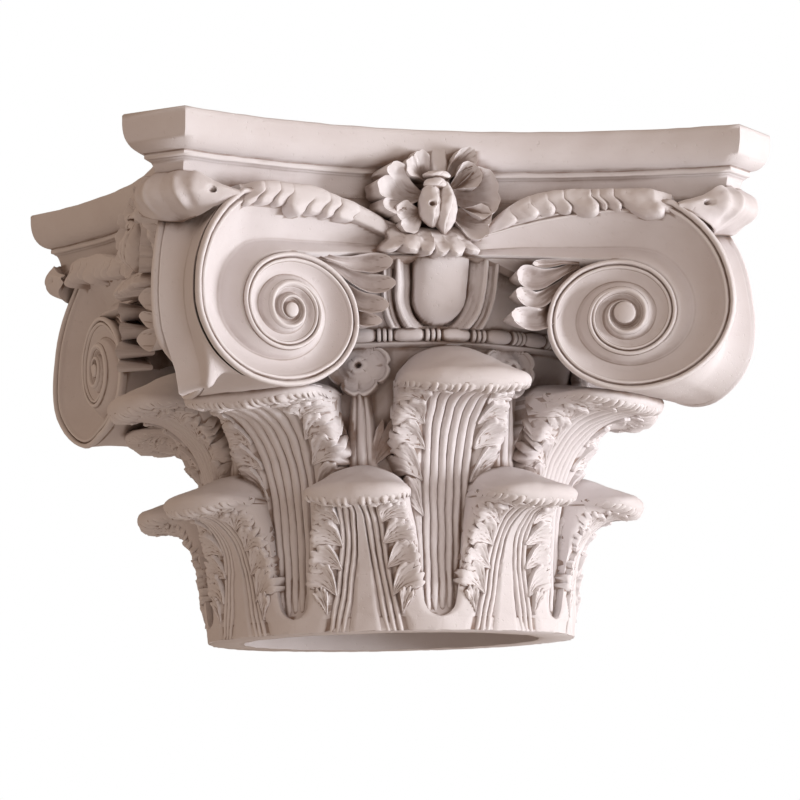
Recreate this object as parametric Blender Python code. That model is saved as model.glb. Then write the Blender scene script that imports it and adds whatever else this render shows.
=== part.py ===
"""A column capital of the Composite order, cast in plaster as one hollow piece.

Run with: blender --background --python part.py
Metres, +Z up. The origin is the centre of the underside, and the front side faces -Y.
Every size is a share of MODULE, the outside radius of the ring that sits on the column shaft.
Angles round the capital are counted from the front (-Y) towards +X.
"""

import math
from dataclasses import dataclass

import bmesh
import bpy
import numpy as np

# Driving dimensions.
MODULE = 0.127
HEIGHT = 2.56 * MODULE
BORE_RADIUS = 0.80 * MODULE

# Abacus: a square slab with hollow sides and cut corners.
HORN_NEAR = 1.457 * MODULE  # the horn's corner, measured along its side
HORN_FAR = 1.725 * MODULE  # the same corner, measured across its side
SIDE_MIDDLE = 1.316 * MODULE  # from the axis to the middle of a hollow side
ABACUS_DEPTH = 0.357 * MODULE
ABACUS_BOTTOM = HEIGHT - ABACUS_DEPTH
# Its mouldings in shares of MODULE, as (inset, depth) below the top edge.
TOP_EDGE = ((0.0, 0.0), (0.0, 0.05))
OVOLO_SIZE = (0.09, 0.14)
FILLET = ((0.10, 0.20), (0.105, 0.225))
CAVETTO_SIZE = (0.04, 0.132)

# The hollow side is an arc. Its centre lies on the axis of the side, outside the capital.
SIDE_SAG = HORN_FAR - SIDE_MIDDLE
SIDE_ARC_RADIUS = (HORN_NEAR**2 + SIDE_SAG**2) / (2 * SIDE_SAG)
SIDE_ARC_CENTRE = SIDE_MIDDLE + SIDE_ARC_RADIUS
SIDE_SEGMENTS = 8

# Volutes. Their faces follow an arc a little inside the abacus's edge.
FACE_INSET = 0.03 * MODULE
FACE_ARC_RADIUS = SIDE_ARC_RADIUS + FACE_INSET
EYE_ALONG = 0.902 * MODULE
EYE_HEIGHT = 1.608 * MODULE
SPIRAL_REACH = 0.565 * MODULE  # from the eye to the outermost point
SPIRAL_SHRINK = 0.49  # what one turn leaves of the reach
SPIRAL_FLATTENING = 0.30  # the wider the turn, the flatter it is
SPIRAL_START = -math.pi / 2
SPIRAL_STEPS_A_TURN = 14
SPIRAL_STEPS = 31
CHANNEL_TIP_ALONG = 0.12 * MODULE
CHANNEL_TIP_TOP = 2.00 * MODULE
CHANNEL_TIP_BOTTOM = 1.95 * MODULE
CHANNEL_STEPS = 3
# Across the channel, from its outer rim to the next: (share of the width, share of the depth).
CHANNEL_SECTION = ((0.14, 0.0), (0.68, 1.0))
CHANNEL_DEPTH_SHARE = 0.45
EYE_RISE = 0.03 * MODULE
BAND_STEPS = 2
BAND_HOLLOW = 0.075 * MODULE

# Bell, bead ring and egg ring, turned about the axis.
CORE_SEGMENTS = 40
BASE_RING_HEIGHT = 0.10 * MODULE
BELL_PROFILE = ((0.915, 0.14), (0.915, 0.70), (0.955, 1.10), (1.02, 1.36), (1.08, 1.48))  # modules
BEAD_BULGE = 0.045 * MODULE
BEAD_RING_HEIGHT = 1.545 * MODULE
BEAD_RING_RADIUS = 1.13 * MODULE
EGG_RING_BOTTOM = 1.60 * MODULE
EGG_RING_TOP = 1.96 * MODULE
EGG_RING_RADIUS = 1.22 * MODULE
EGG_RING_STEPS = 2

# Middles and radii of the round ornaments on the front side or the corner, in shares of MODULE.
CORNER_ROLL = ((0, -1.90, 2.13), (0.19, 0.20, 0.115))
EGG = ((0, -1.19, 1.79), (0.145, 0.11, 0.20))
COLLAR = ((0, -1.24, 2.0), (0.22, 0.16, 0.07))

# Flower, rosette and stem, in shares of MODULE.
FLOWER_HEIGHT = 2.255
FLOWER_PETALS = 5
FLOWER_SEGMENTS = 15
FLOWER_NOTCH = 0.14  # how much of the radius the notches between petals take
FLOWER_FLATTENING = 0.76  # its height as a share of its width
FLOWER_RINGS = ((0.30, -0.20), (0.30, 0.06), (0.36, 0.10), (0.30, 0.16), (0.15, 0.12))  # radius, out
ROSETTE_HEIGHT = 1.37
ROSETTE_RADIUS = 0.155
ROSETTE_PETALS = 4
ROSETTE_SEGMENTS = 8
ROSETTE_NOTCH = 0.16
ROSETTE_RINGS = ((1.0, 0.94), (1.0, 1.09), (0.6, 1.12))  # share of the radius, distance from the axis
STEM_RINGS = ((0.72, 0.06), (0.92, 0.085), (1.10, 0.055), (1.30, 0.045))  # height, radius
STEM_SIDES = 5
STEM_FOOT = (0.97, 0.7)  # distance from the axis at this height
STEM_LEAN = 0.06

SHARP_ANGLE = math.radians(35)
PLASTER = ("plaster", (0.74, 0.69, 0.66, 1.0), 0.85)


def turned(points, angle):
    """Points turned about the axis by an angle in radians."""
    c, s = math.cos(angle), math.sin(angle)
    return np.asarray(points) @ np.array([[c, s, 0], [-s, c, 0], [0, 0, 1]])


def round_the_axis(radius, angle, height):
    """The point at this radius, this angle from the front, and this height."""
    return (radius * math.sin(angle), -radius * math.cos(angle), height)


def on_face(along, height, out=0.0):
    """A point of the front side's hollow face: along it, up it and out from it."""
    angle = along / FACE_ARC_RADIUS
    radius = FACE_ARC_RADIUS - out
    return (radius * math.sin(angle), radius * math.cos(angle) - SIDE_ARC_CENTRE, height)


def plaster_material():
    """The one material, made once."""
    name, colour, roughness = PLASTER
    material = bpy.data.materials.get(name) or bpy.data.materials.new(name)
    material.use_nodes = True
    shader = material.node_tree.nodes["Principled BSDF"]
    shader.inputs["Base Color"].default_value = colour
    shader.inputs["Roughness"].default_value = roughness
    shader.inputs["Metallic"].default_value = 0.0
    return material


def make_object(name, points, faces, is_tool=True):
    """A mesh object with its faces pointing out. A tool is only joined to or cut from the capital."""
    mesh = bpy.data.meshes.new(name)
    mesh.from_pydata([tuple(map(float, p)) for p in points], [], faces)
    edit = bmesh.new()
    edit.from_mesh(mesh)
    bmesh.ops.remove_doubles(edit, verts=edit.verts, dist=1e-6)
    bmesh.ops.recalc_face_normals(edit, faces=edit.faces)
    edit.to_mesh(mesh)
    edit.free()
    mesh.shade_smooth()
    mesh.set_sharp_from_angle(angle=SHARP_ANGLE)
    mesh.materials.append(plaster_material())
    obj = bpy.data.objects.new(name, mesh)
    obj.hide_render = is_tool
    if is_tool:
        obj.display_type = "WIRE"
    return obj


def lofted(rings):
    """(points, faces) of a closed solid through rings with the same number of points."""
    count = len(rings[0])
    points = [point for ring in rings for point in ring]
    faces = []
    for i in range(len(rings) - 1):
        for j in range(count):
            k = (j + 1) % count
            low, high = i * count, (i + 1) * count
            faces.append((low + j, low + k, high + k, high + j))
    for first in (0, (len(rings) - 1) * count):
        middle = len(points)
        points.append(np.mean([points[first + j] for j in range(count)], axis=0))
        for j in range(count):
            faces.append((first + j, first + (j + 1) % count, middle))
    return points, faces


def make_ring_core():
    """The turned core: base ring, bell, bead ring and egg ring, solid to the axis."""
    bead_inner = BEAD_RING_RADIUS - BEAD_BULGE
    flat = 0.4 * BEAD_BULGE  # half the height of the bead ring's flat front
    overlap = 0.05 * MODULE  # how far the core reaches into the abacus
    profile = [(0.975 * MODULE, 0.0), (0.985 * MODULE, BASE_RING_HEIGHT)]
    profile += [(radius * MODULE, height * MODULE) for radius, height in BELL_PROFILE]
    profile += [
        (bead_inner, BEAD_RING_HEIGHT - BEAD_BULGE),
        (BEAD_RING_RADIUS, BEAD_RING_HEIGHT - flat),
        (BEAD_RING_RADIUS, BEAD_RING_HEIGHT + flat),
        (bead_inner, EGG_RING_BOTTOM),
    ]
    for i in range(1, EGG_RING_STEPS + 1):
        turn = math.pi / 2 * i / EGG_RING_STEPS
        radius = bead_inner + (EGG_RING_RADIUS - bead_inner) * math.sin(turn)
        height = EGG_RING_TOP - (EGG_RING_TOP - EGG_RING_BOTTOM) * math.cos(turn)
        profile.append((radius, height))
    profile.append((EGG_RING_RADIUS - overlap, ABACUS_BOTTOM + overlap))
    rings = [
        [round_the_axis(r, math.tau * j / CORE_SEGMENTS, z) for j in range(CORE_SEGMENTS)]
        for r, z in profile
    ]
    return make_object("capital", *lofted(rings), is_tool=False)


def abacus_outline(inset):
    """The plan of the abacus, this far inside its top edge, as a closed ring of (x, y)."""
    cut = HORN_NEAR + HORN_FAR - inset * math.sqrt(2)
    radius = SIDE_ARC_RADIUS + inset
    # The side's arc meets the cut corner, x - y = cut, at its end.
    shift = SIDE_ARC_CENTRE - cut
    end = (-shift + math.sqrt(2 * radius**2 - shift**2)) / 2
    sweep = math.asin(end / radius)
    side = []
    for i in range(SIDE_SEGMENTS + 1):
        angle = sweep * (2 * i / SIDE_SEGMENTS - 1)
        side.append((radius * math.sin(angle), radius * math.cos(angle) - SIDE_ARC_CENTRE, 0))
    return np.concatenate([turned(side, math.pi / 2 * k) for k in range(4)])


def make_abacus():
    """Ovolo, fillet and cavetto run round the hollow-sided slab."""
    profile = list(TOP_EDGE)
    ovolo_steps = 3
    for i in range(1, ovolo_steps + 1):
        turn = math.pi / 2 * i / ovolo_steps
        reach, drop = OVOLO_SIZE
        profile.append((reach * (1 - math.cos(turn)), TOP_EDGE[-1][1] + drop * math.sin(turn)))
    profile += FILLET
    start_inset, start_depth = FILLET[-1]
    cavetto_steps = 2
    for i in range(1, cavetto_steps + 1):
        turn = math.pi / 2 * i / cavetto_steps
        reach, drop = CAVETTO_SIZE
        profile.append((start_inset + reach * math.sin(turn), start_depth + drop * (1 - math.cos(turn))))
    rings = []
    for inset, depth in reversed(profile):
        ring = abacus_outline(inset * MODULE)
        ring[:, 2] = HEIGHT - depth * MODULE
        rings.append(ring)
    return make_object("abacus", *lofted(rings))


def spiral_point(turn):
    """(along, height) on the volute's rim. Turn 0 is the outermost point, and it winds down and in."""
    reach = SPIRAL_REACH * SPIRAL_SHRINK ** (turn / math.tau)
    flat = 1 - SPIRAL_FLATTENING * reach / MODULE
    return (
        EYE_ALONG + reach * math.cos(turn),
        EYE_HEIGHT - reach * flat * math.sin(turn),
    )


def channel_rims(share):
    """The channel's upper and lower rim, from its tip near the flower (0) to the volute (1)."""
    top_end = spiral_point(SPIRAL_START)
    low_end = spiral_point(SPIRAL_START + math.tau)
    along = CHANNEL_TIP_ALONG + (EYE_ALONG - CHANNEL_TIP_ALONG) * share
    rise = math.sqrt(1 - (1 - share) ** 2)
    upper = CHANNEL_TIP_TOP + (top_end[1] - CHANNEL_TIP_TOP) * rise
    lower = CHANNEL_TIP_BOTTOM + (low_end[1] - CHANNEL_TIP_BOTTOM) * share
    return (along, upper), (along, lower)


def volute_face():
    """One spiral face at the front right: (points, faces, indices of its outline in order)."""
    points, faces = [], []

    def add(spot, out=0.0):
        points.append(on_face(*spot, out))
        return len(points) - 1

    def add_section(outer, inner):
        outer, inner = np.array(outer), np.array(inner)
        depth = CHANNEL_DEPTH_SHARE * np.linalg.norm(outer - inner)
        return [add(outer + (inner - outer) * w, -depth * d) for w, d in CHANNEL_SECTION]

    channel = []
    for i in range(CHANNEL_STEPS):
        upper, lower = channel_rims(i / CHANNEL_STEPS)
        channel.append([add(upper), *add_section(upper, lower), add(lower)])
    step = math.tau / SPIRAL_STEPS_A_TURN
    turns = [SPIRAL_START + step * k for k in range(SPIRAL_STEPS + 1)]
    rim = [add(spiral_point(turn)) for turn in turns]
    whole = SPIRAL_STEPS - SPIRAL_STEPS_A_TURN
    spiral = []
    for k in range(whole + 1):
        section = add_section(spiral_point(turns[k]), spiral_point(turns[k] + math.tau))
        spiral.append([rim[k], *section, rim[k + SPIRAL_STEPS_A_TURN]])
    rows = channel + spiral
    for row, following in zip(rows, rows[1:]):
        for j in range(len(row) - 1):
            faces.append((row[j], row[j + 1], following[j + 1], following[j]))
    eye = add((EYE_ALONG, EYE_HEIGHT), EYE_RISE)
    for j in range(whole, SPIRAL_STEPS):
        faces.append((rim[j], rim[j + 1], eye))
    faces.append((eye, *reversed(spiral[-1])))  # the wall where the channel ends
    outline = [row[0] for row in channel] + rim[: SPIRAL_STEPS_A_TURN + 1]
    outline += [row[-1] for row in reversed(channel)] + channel[0][-2:0:-1]
    return points, faces, outline


def make_volute(name, angle):
    """A corner volute: two spiral faces, and the hollowed band that joins their outlines."""
    points, faces, outline = volute_face()
    front = np.array(points)
    side = front[:, [1, 0, 2]] * [-1, -1, 1]  # mirrored in the corner's diagonal plane
    count = len(front)
    points = list(front) + list(side)
    faces = faces + [tuple(i + count for i in face) for face in faces]
    eye_axis = np.array([*on_face(EYE_ALONG, EYE_HEIGHT)[:2], EYE_HEIGHT])
    eye_middle = (eye_axis + eye_axis[[1, 0, 2]] * [-1, -1, 1]) / 2
    rows = []
    for index in outline:
        start, end = front[index], side[index]
        middle = (start + end) / 2
        inward = eye_middle - middle
        outermost = max(0.0, -inward[0] * math.sqrt(2) / np.linalg.norm(inward))
        hollow = BAND_HOLLOW * outermost / np.linalg.norm(inward)
        row = [index]
        for j in range(1, BAND_STEPS):
            share = j / BAND_STEPS
            points.append(start + (end - start) * share + inward * hollow * 4 * share * (1 - share))
            row.append(len(points) - 1)
        rows.append([*row, index + count])
    for i, row in enumerate(rows):
        following = rows[(i + 1) % len(rows)]
        for j in range(BAND_STEPS):
            faces.append((row[j], row[j + 1], following[j + 1], following[j]))
    return make_object(name, turned(points, angle), faces)


@dataclass
class Leaf:
    """One acanthus leaf with its overhanging hood, in shares of MODULE."""

    base_radius: float
    base_height: float
    bend_radius: float  # of the front face, where it starts to lean out
    bend_height: float
    curve: float  # radius of the lean
    tip_radius: float
    lip: float  # thickness at the tip
    hood_height: float  # where the hood's top meets the bell
    base_half_width: float
    half_width: float


LOWER_LEAF = Leaf(0.995, 0.02, 1.03, 0.45, 0.17, 1.395, 0.12, 0.87, 0.27, 0.31)
UPPER_LEAF = Leaf(0.94, 0.12, 1.10, 1.02, 0.16, 1.556, 0.13, 1.47, 0.16, 0.36)
CORNER_LEAF = Leaf(0.94, 0.12, 1.08, 0.89, 0.16, 1.66, 0.13, 1.32, 0.16, 0.36)
LEAF_COLUMNS = (-1.0, -0.75, -0.4, 0.0, 0.4, 0.75, 1.0)
LEAF_ROOT_RADIUS = 0.86
LEAF_ROOT_SPREAD = 0.7  # the root's width as a share of the leaf's
LEAF_CUPPING = 0.05  # how far the leaf's edges lie behind its middle
RIB_RISE = 0.02
TIP_UNDERCUT = 0.02
HOOD_SETBACK = 0.16  # the hood meets the bell this far behind the front face
HOOD_EDGE_RISE = 0.35  # how much of the hood's rise its edges keep
LOBE_SHARE = 0.12  # how much of the half width the notches between lobes take
FRONT_ROWS = 4
CURVE_ROWS = 2
HOOD_ROWS = 2


def leaf_rows(leaf):
    """The leaf's middle line, as (radius, height, half width, share of the overhang)."""
    rows = []
    for i in range(FRONT_ROWS + 1):
        share = i / FRONT_ROWS
        lobe = i % 2
        width = leaf.base_half_width + (leaf.half_width - leaf.base_half_width) * share**0.5
        radius = leaf.base_radius + (leaf.bend_radius - leaf.base_radius) * share
        height = leaf.base_height + (leaf.bend_height - leaf.base_height) * share
        rows.append((radius, height, width * (1 - LOBE_SHARE * (1 - lobe)), 0.0))
    for i in range(1, CURVE_ROWS + 1):
        turn = math.pi / 2 * i / CURVE_ROWS
        out = leaf.curve * (1 - math.cos(turn))
        share = out / (leaf.tip_radius - leaf.bend_radius)
        height = leaf.bend_height + leaf.curve * math.sin(turn)
        rows.append((leaf.bend_radius + out, height, leaf.half_width, share))
    under = leaf.bend_height + leaf.curve
    rows.append((leaf.tip_radius - TIP_UNDERCUT, under, leaf.half_width, 1.0))
    rows.append((leaf.tip_radius, under + leaf.lip, leaf.half_width, 1.0))
    for i in range(1, HOOD_ROWS + 1):
        share = i / HOOD_ROWS
        radius = leaf.tip_radius + (leaf.bend_radius - HOOD_SETBACK - leaf.tip_radius) * share
        rise = math.sin(math.pi / 2 * share)
        height = under + leaf.lip + (leaf.hood_height - under - leaf.lip) * rise
        rows.append((radius, height, leaf.half_width, 1.0 - share))
    return rows


def make_leaf(name, leaf, angle):
    """One leaf as a solid reaching back into the bell, turned about the axis."""
    rings = []
    rows = leaf_rows(leaf)
    lip_row = FRONT_ROWS + CURVE_ROWS + 1
    under = leaf.bend_height + leaf.curve
    for i, (radius, height, width, overhang) in enumerate(rows):
        root_height = leaf.base_height + (leaf.hood_height - leaf.base_height) * i / (len(rows) - 1)
        ring = []
        for t in LEAF_COLUMNS:
            fall = math.sqrt(1 - t**2)
            r = radius - LEAF_CUPPING * t**2
            z = height
            if overhang > 0:
                r = min(r, leaf.bend_radius) + max(0.0, r - leaf.bend_radius) * fall
            if i >= lip_row:
                z = under + (height - under) * (HOOD_EDGE_RISE + (1 - HOOD_EDGE_RISE) * fall)
            if t == 0.0 and i <= FRONT_ROWS:
                r += RIB_RISE
            ring.append(round_the_axis(r * MODULE, t * width / r, z * MODULE))
        for t in (1.0, -1.0):
            spread = t * LEAF_ROOT_SPREAD * width / LEAF_ROOT_RADIUS
            root = round_the_axis(LEAF_ROOT_RADIUS * MODULE, spread, root_height * MODULE)
            ring.append(root)
        rings.append(turned(ring, angle))
    return make_object(name, *lofted(rings))


def ellipsoid(name, shape, angle, segments=8, rings=5):
    """A closed egg-shaped solid with this (middle, radii) in modules, turned about the axis."""
    centre, radii = np.array(shape) * MODULE
    edit = bmesh.new()
    bmesh.ops.create_uvsphere(edit, u_segments=segments, v_segments=rings, radius=1.0)
    points = np.array([v.co for v in edit.verts]) * radii + centre
    faces = [tuple(v.index for v in face.verts) for face in edit.faces]
    edit.free()
    return make_object(name, turned(points, angle), faces)


def make_flower(name, angle):
    """The flower on the middle of a side: a lobed disc of petals round a hanging bud."""
    rings = []
    for radius, out in FLOWER_RINGS:
        ring = []
        for j in range(FLOWER_SEGMENTS):
            turn = math.tau * j / FLOWER_SEGMENTS
            petal = 1 - FLOWER_NOTCH + FLOWER_NOTCH * abs(math.cos(FLOWER_PETALS * turn / 2))
            along = radius * petal * math.cos(turn)
            height = FLOWER_HEIGHT + FLOWER_FLATTENING * radius * petal * math.sin(turn)
            ring.append(on_face(along * MODULE, height * MODULE, out * MODULE))
        rings.append(turned(ring, angle))
    return make_object(name, *lofted(rings))


def make_rosette(name, angle):
    """The four-petalled rosette on the bell between two upper leaves."""
    rings = []
    for size, out in ROSETTE_RINGS:
        ring = []
        for j in range(ROSETTE_SEGMENTS):
            turn = math.tau * j / ROSETTE_SEGMENTS
            petal = 1 - ROSETTE_NOTCH + ROSETTE_NOTCH * math.cos(ROSETTE_PETALS * turn)
            reach = ROSETTE_RADIUS * size * petal
            height = ROSETTE_HEIGHT + reach * math.sin(turn)
            ring.append(round_the_axis(out * MODULE, reach * math.cos(turn) / out, height * MODULE))
        rings.append(turned(ring, angle))
    return make_object(name, *lofted(rings))


def make_stem(name, angle):
    """The stalk that carries a rosette, flaring to a calyx where the leaves part."""
    foot_out, foot_height = STEM_FOOT
    rings = []
    for height, radius in STEM_RINGS:
        ring = []
        for j in range(STEM_SIDES):
            turn = math.tau * j / STEM_SIDES
            out = foot_out + STEM_LEAN * (height - foot_height) + radius * math.sin(turn)
            ring.append(round_the_axis(out * MODULE, radius * math.cos(turn) / out, height * MODULE))
        rings.append(turned(ring, angle))
    return make_object(name, *lofted(rings))


def make_tools():
    """Every shape that is joined to the core."""
    tools = [make_abacus()]
    quarter = math.pi / 2
    for k in range(4):
        side = quarter * k
        corner = side + quarter / 2
        tools.append(make_volute(f"volute_{k}", side))
        tools.append(make_leaf(f"upper_leaf_{k}", UPPER_LEAF, side))
        tools.append(make_leaf(f"corner_leaf_{k}", CORNER_LEAF, corner))
        tools.append(make_flower(f"flower_{k}", side))
        tools.append(ellipsoid(f"corner_roll_{k}", CORNER_ROLL, corner))
        tools.append(ellipsoid(f"egg_{k}", EGG, side))
        tools.append(ellipsoid(f"collar_{k}", COLLAR, side, segments=10, rings=3))
    for k in range(8):
        between = quarter / 4 + quarter / 2 * k
        tools.append(make_leaf(f"lower_leaf_{k}", LOWER_LEAF, between))
        tools.append(make_rosette(f"rosette_{k}", between))
        tools.append(make_stem(f"stem_{k}", between))
    return tools


def make_bore():
    """The round hole through the middle, longer than the capital is tall."""
    past = 0.1 * MODULE
    rings = [
        [round_the_axis(BORE_RADIUS, math.tau * j / CORE_SEGMENTS, z) for j in range(CORE_SEGMENTS)]
        for z in (-past, HEIGHT + past)
    ]
    return make_object("bore_cutter", *lofted(rings))


def join_and_bore(capital, tools, bore):
    """Join every tool to the capital, then cut the bore."""
    group = bpy.data.collections.new("joined_shapes")
    group.hide_render = True
    bpy.context.scene.collection.children.link(group)
    for tool in tools:
        group.objects.link(tool)
    scene_objects = bpy.context.scene.collection.objects
    scene_objects.link(capital)
    scene_objects.link(bore)
    join = capital.modifiers.new("join", "BOOLEAN")
    join.operation = "UNION"
    join.operand_type = "COLLECTION"
    join.collection = group
    cut = capital.modifiers.new("bore", "BOOLEAN")
    cut.operation = "DIFFERENCE"
    cut.object = bore


def main():
    for old in list(bpy.data.objects):
        bpy.data.objects.remove(old)
    join_and_bore(make_ring_core(), make_tools(), make_bore())


main()
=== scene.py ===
"""A cast plaster column capital of the Composite order: carved surfaces, finish, light and camera.

Shapes are worked out in shares of the module, the nominal radius of the column's neck.
The front side faces -Y. Angles round the capital are counted from the front towards +X.
"""

import math
from dataclasses import dataclass

import bmesh
import bpy
import numpy as np
from bpy.props import FloatProperty, FloatVectorProperty, IntProperty
from mathutils import Matrix, Vector
from mathutils.bvhtree import BVHTree


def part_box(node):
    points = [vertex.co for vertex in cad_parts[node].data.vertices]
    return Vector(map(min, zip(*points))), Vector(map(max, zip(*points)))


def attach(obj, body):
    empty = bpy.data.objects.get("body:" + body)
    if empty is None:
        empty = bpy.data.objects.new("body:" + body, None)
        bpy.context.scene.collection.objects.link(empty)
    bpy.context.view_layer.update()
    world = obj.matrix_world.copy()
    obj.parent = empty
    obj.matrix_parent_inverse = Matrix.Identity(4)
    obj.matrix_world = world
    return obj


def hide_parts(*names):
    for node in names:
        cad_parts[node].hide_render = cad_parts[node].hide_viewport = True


bl_info = {
    "name": "Column capital",
    "version": (1, 0, 0),
    "blender": (4, 5, 0),
    "location": "3D View > Sidebar > Capital",
    "description": "Carves and finishes a Composite column capital in cast plaster",
    "category": "Object",
}

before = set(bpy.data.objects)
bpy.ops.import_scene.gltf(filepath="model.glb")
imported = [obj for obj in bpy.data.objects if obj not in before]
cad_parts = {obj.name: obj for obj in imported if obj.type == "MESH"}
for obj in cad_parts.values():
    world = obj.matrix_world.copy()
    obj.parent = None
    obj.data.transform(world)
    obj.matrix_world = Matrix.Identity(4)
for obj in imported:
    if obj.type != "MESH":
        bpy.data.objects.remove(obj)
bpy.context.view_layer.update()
NODE = "capital"

# The pieces, and how often each is repeated round the axis.
PIECES = {
    "bell": 1,
    "lower_leaves": 8,
    "upper_leaves": 4,
    "corner_leaves": 4,
    "bead_ring": 1,
    "egg_ring": 4,
    "volutes": 2,
    "abacus": 1,
    "flowers": 4,
    "channel_leaves": 4,
    "stems": 8,
}

HEIGHT = 2.56  # of the whole capital, in modules
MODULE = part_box(NODE)[1].z / HEIGHT
BORE = 0.80  # radius of the hole through the middle

# The abacus, in modules.
HORN_NEAR = 1.457
HORN_FAR = 1.725
SIDE_MIDDLE = 1.316
ABACUS_DEPTH = 0.357
ABACUS_BOTTOM = HEIGHT - ABACUS_DEPTH
SIDE_SAG = HORN_FAR - SIDE_MIDDLE
SIDE_ARC = (HORN_NEAR**2 + SIDE_SAG**2) / (2 * SIDE_SAG)
SIDE_CENTRE = SIDE_MIDDLE + SIDE_ARC

# The volutes' faces lie on an arc a little inside the abacus's edge.
FACE_ARC = SIDE_ARC + 0.03
EYE_ALONG = 0.913
EYE_HEIGHT = 1.590
EGG_ALONG = -0.02  # the egg stands a little left of its side's middle


# What a user may change


class CapitalSizes(bpy.types.PropertyGroup):
    """Sizes of the carving."""

    vein_depth: FloatProperty(
        name="Vein depth", description="How deep the leaves' veins are cut",
        default=0.020 * MODULE, min=0.0, max=0.01, unit="LENGTH",
    )
    bead_count: IntProperty(
        name="Beads", description="How many long beads the ring over the leaves has",
        default=28, min=12, max=60,
    )
    bead_radius: FloatProperty(
        name="Bead radius", description="Radius of the beads and of the discs between them",
        default=0.038 * MODULE, min=0.001, max=0.01, unit="LENGTH",
    )
    round_eye: FloatProperty(
        name="Round eye", description="Radius of the eyes of the volutes on the right of each side",
        default=0.072 * MODULE, min=0.002, max=0.02, unit="LENGTH",
    )
    curled_eye: FloatProperty(
        name="Curled eye", description="Radius of the smaller eyes, on the left of each side",
        default=0.048 * MODULE, min=0.002, max=0.02, unit="LENGTH",
    )
    rosette_radius: FloatProperty(
        name="Rosette radius", description="Radius of the rosettes on the stems between the leaves",
        default=0.168 * MODULE, min=0.005, max=0.03, unit="LENGTH",
    )
    unevenness: FloatProperty(
        name="Unevenness", description="How much the cast surfaces wander; 0 is a perfect cast",
        default=1.0, min=0.0, max=3.0, subtype="FACTOR",
    )


class CapitalFinish(bpy.types.PropertyGroup):
    """Colours of the plaster, its rubbed crests, and its painted shade and highlights."""

    darker_plaster: FloatVectorProperty(
        name="Darker plaster", description="The plaster's colour in its darker blotches",
        default=(0.71, 0.675, 0.685), min=0.0, max=1.0, subtype="COLOR",
    )
    paler_plaster: FloatVectorProperty(
        name="Paler plaster", description="The plaster's colour in its paler blotches",
        default=(0.755, 0.73, 0.745), min=0.0, max=1.0, subtype="COLOR",
    )
    # Partly plaster rubbed pale, partly a painted highlight on the crests.
    rubbed_and_lit_crests: FloatVectorProperty(
        name="Worn crests", description="The colour of crests that are rubbed pale",
        default=(0.86, 0.845, 0.86), min=0.0, max=1.0, subtype="COLOR",
    )
    # Painted shade: the brown that grooves, hollows and the bore's walls are painted with.
    painted_shade: FloatVectorProperty(
        name="Dirt", description="The colour of the dirt in grooves and hollows",
        default=(0.25, 0.17, 0.13), min=0.0, max=1.0, subtype="COLOR",
    )
    # How far crests go pale, for rubbing and painted highlight alike.
    rubbing_and_highlight: FloatProperty(
        name="Wear", description="How far the sharpest crests take the worn colour",
        default=0.55, min=0.0, max=1.0, subtype="FACTOR",
    )
    # Painted shade: how far the rays reach that measure how closed in a spot is.
    shade_reach: FloatProperty(
        name="Dirt reach", description="How far apart two surfaces may be for dirt to gather between them",
        default=0.30 * MODULE, min=0.005, max=0.1, unit="LENGTH",
    )
    roughness: FloatProperty(
        name="Roughness", description="The plaster's roughness",
        default=0.85, min=0.0, max=1.0, subtype="FACTOR",
    )
    grain_depth: FloatProperty(
        name="Grain depth", description="Depth of the plaster's fine grain and pits",
        default=0.0004, min=0.0, max=0.002, precision=5, unit="LENGTH",
    )


class CapitalView(bpy.types.PropertyGroup):
    """The camera's angle, the floor and the light."""

    yaw: FloatProperty(
        name="Yaw", description="How far the camera looks to the right of straight ahead",
        default=math.radians(15.0), subtype="ANGLE",
    )
    pitch: FloatProperty(
        name="Pitch", description="How far the camera looks up",
        default=math.radians(7.1), subtype="ANGLE",
    )
    roll: FloatProperty(
        name="Roll", description="How far the camera is tilted about its line of sight",
        default=math.radians(-1.19), subtype="ANGLE",
    )
    floor_height: FloatProperty(
        name="Floor height", description="Height of the floor; the capital is seen from below its foot",
        default=-0.62, unit="LENGTH",
    )
    floor_colour: FloatVectorProperty(
        name="Floor", description="The floor's colour",
        default=(0.8, 0.79, 0.78), min=0.0, max=1.0, subtype="COLOR",
    )
    key_power: FloatProperty(
        name="Key lamp", description="Power of the lamp on the right", default=50.0, unit="POWER"
    )
    front_power: FloatProperty(
        name="Front lamp", description="Power of the lamp in front", default=15.0, unit="POWER"
    )
    surround_colour: FloatVectorProperty(
        name="Surround", description="Colour of the light from all round",
        default=(0.84, 0.615, 0.465), min=0.0, max=1.0, subtype="COLOR",
    )
    surround_strength: FloatProperty(
        name="Surround strength", description="Strength of the light from all round",
        default=0.50, min=0.0, max=2.0,
    )


# Plain mathematics


def smooth(x, low=0.0, high=1.0):
    """0 below low, 1 above high, and a soft step between."""
    share = np.clip((np.asarray(x, float) - low) / (high - low), 0.0, 1.0)
    return share * share * (3 - 2 * share)


def ridges(share, count, sharpness=0.55):
    """Rounded ridges with sharp grooves between them: 0 in a groove, 1 on a ridge."""
    return np.abs(np.sin(np.pi * count * np.asarray(share))) ** sharpness


def bump(x, middle, width):
    """A rounded bead of height 1, this wide, at the middle."""
    return np.sqrt(np.clip(1 - ((np.asarray(x) - middle) / (width / 2)) ** 2, 0, 1))


def turned(points, angle):
    """Points turned about the axis by an angle in radians."""
    c, s = math.cos(angle), math.sin(angle)
    return np.asarray(points) @ np.array([[c, s, 0], [-s, c, 0], [0, 0, 1]])


def round_axis(radius, angle, height):
    """Points at these radii, angles from the front, and heights."""
    radius, angle, height = np.broadcast_arrays(radius, angle, height)
    return np.stack([radius * np.sin(angle), -radius * np.cos(angle), height], -1)


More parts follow.
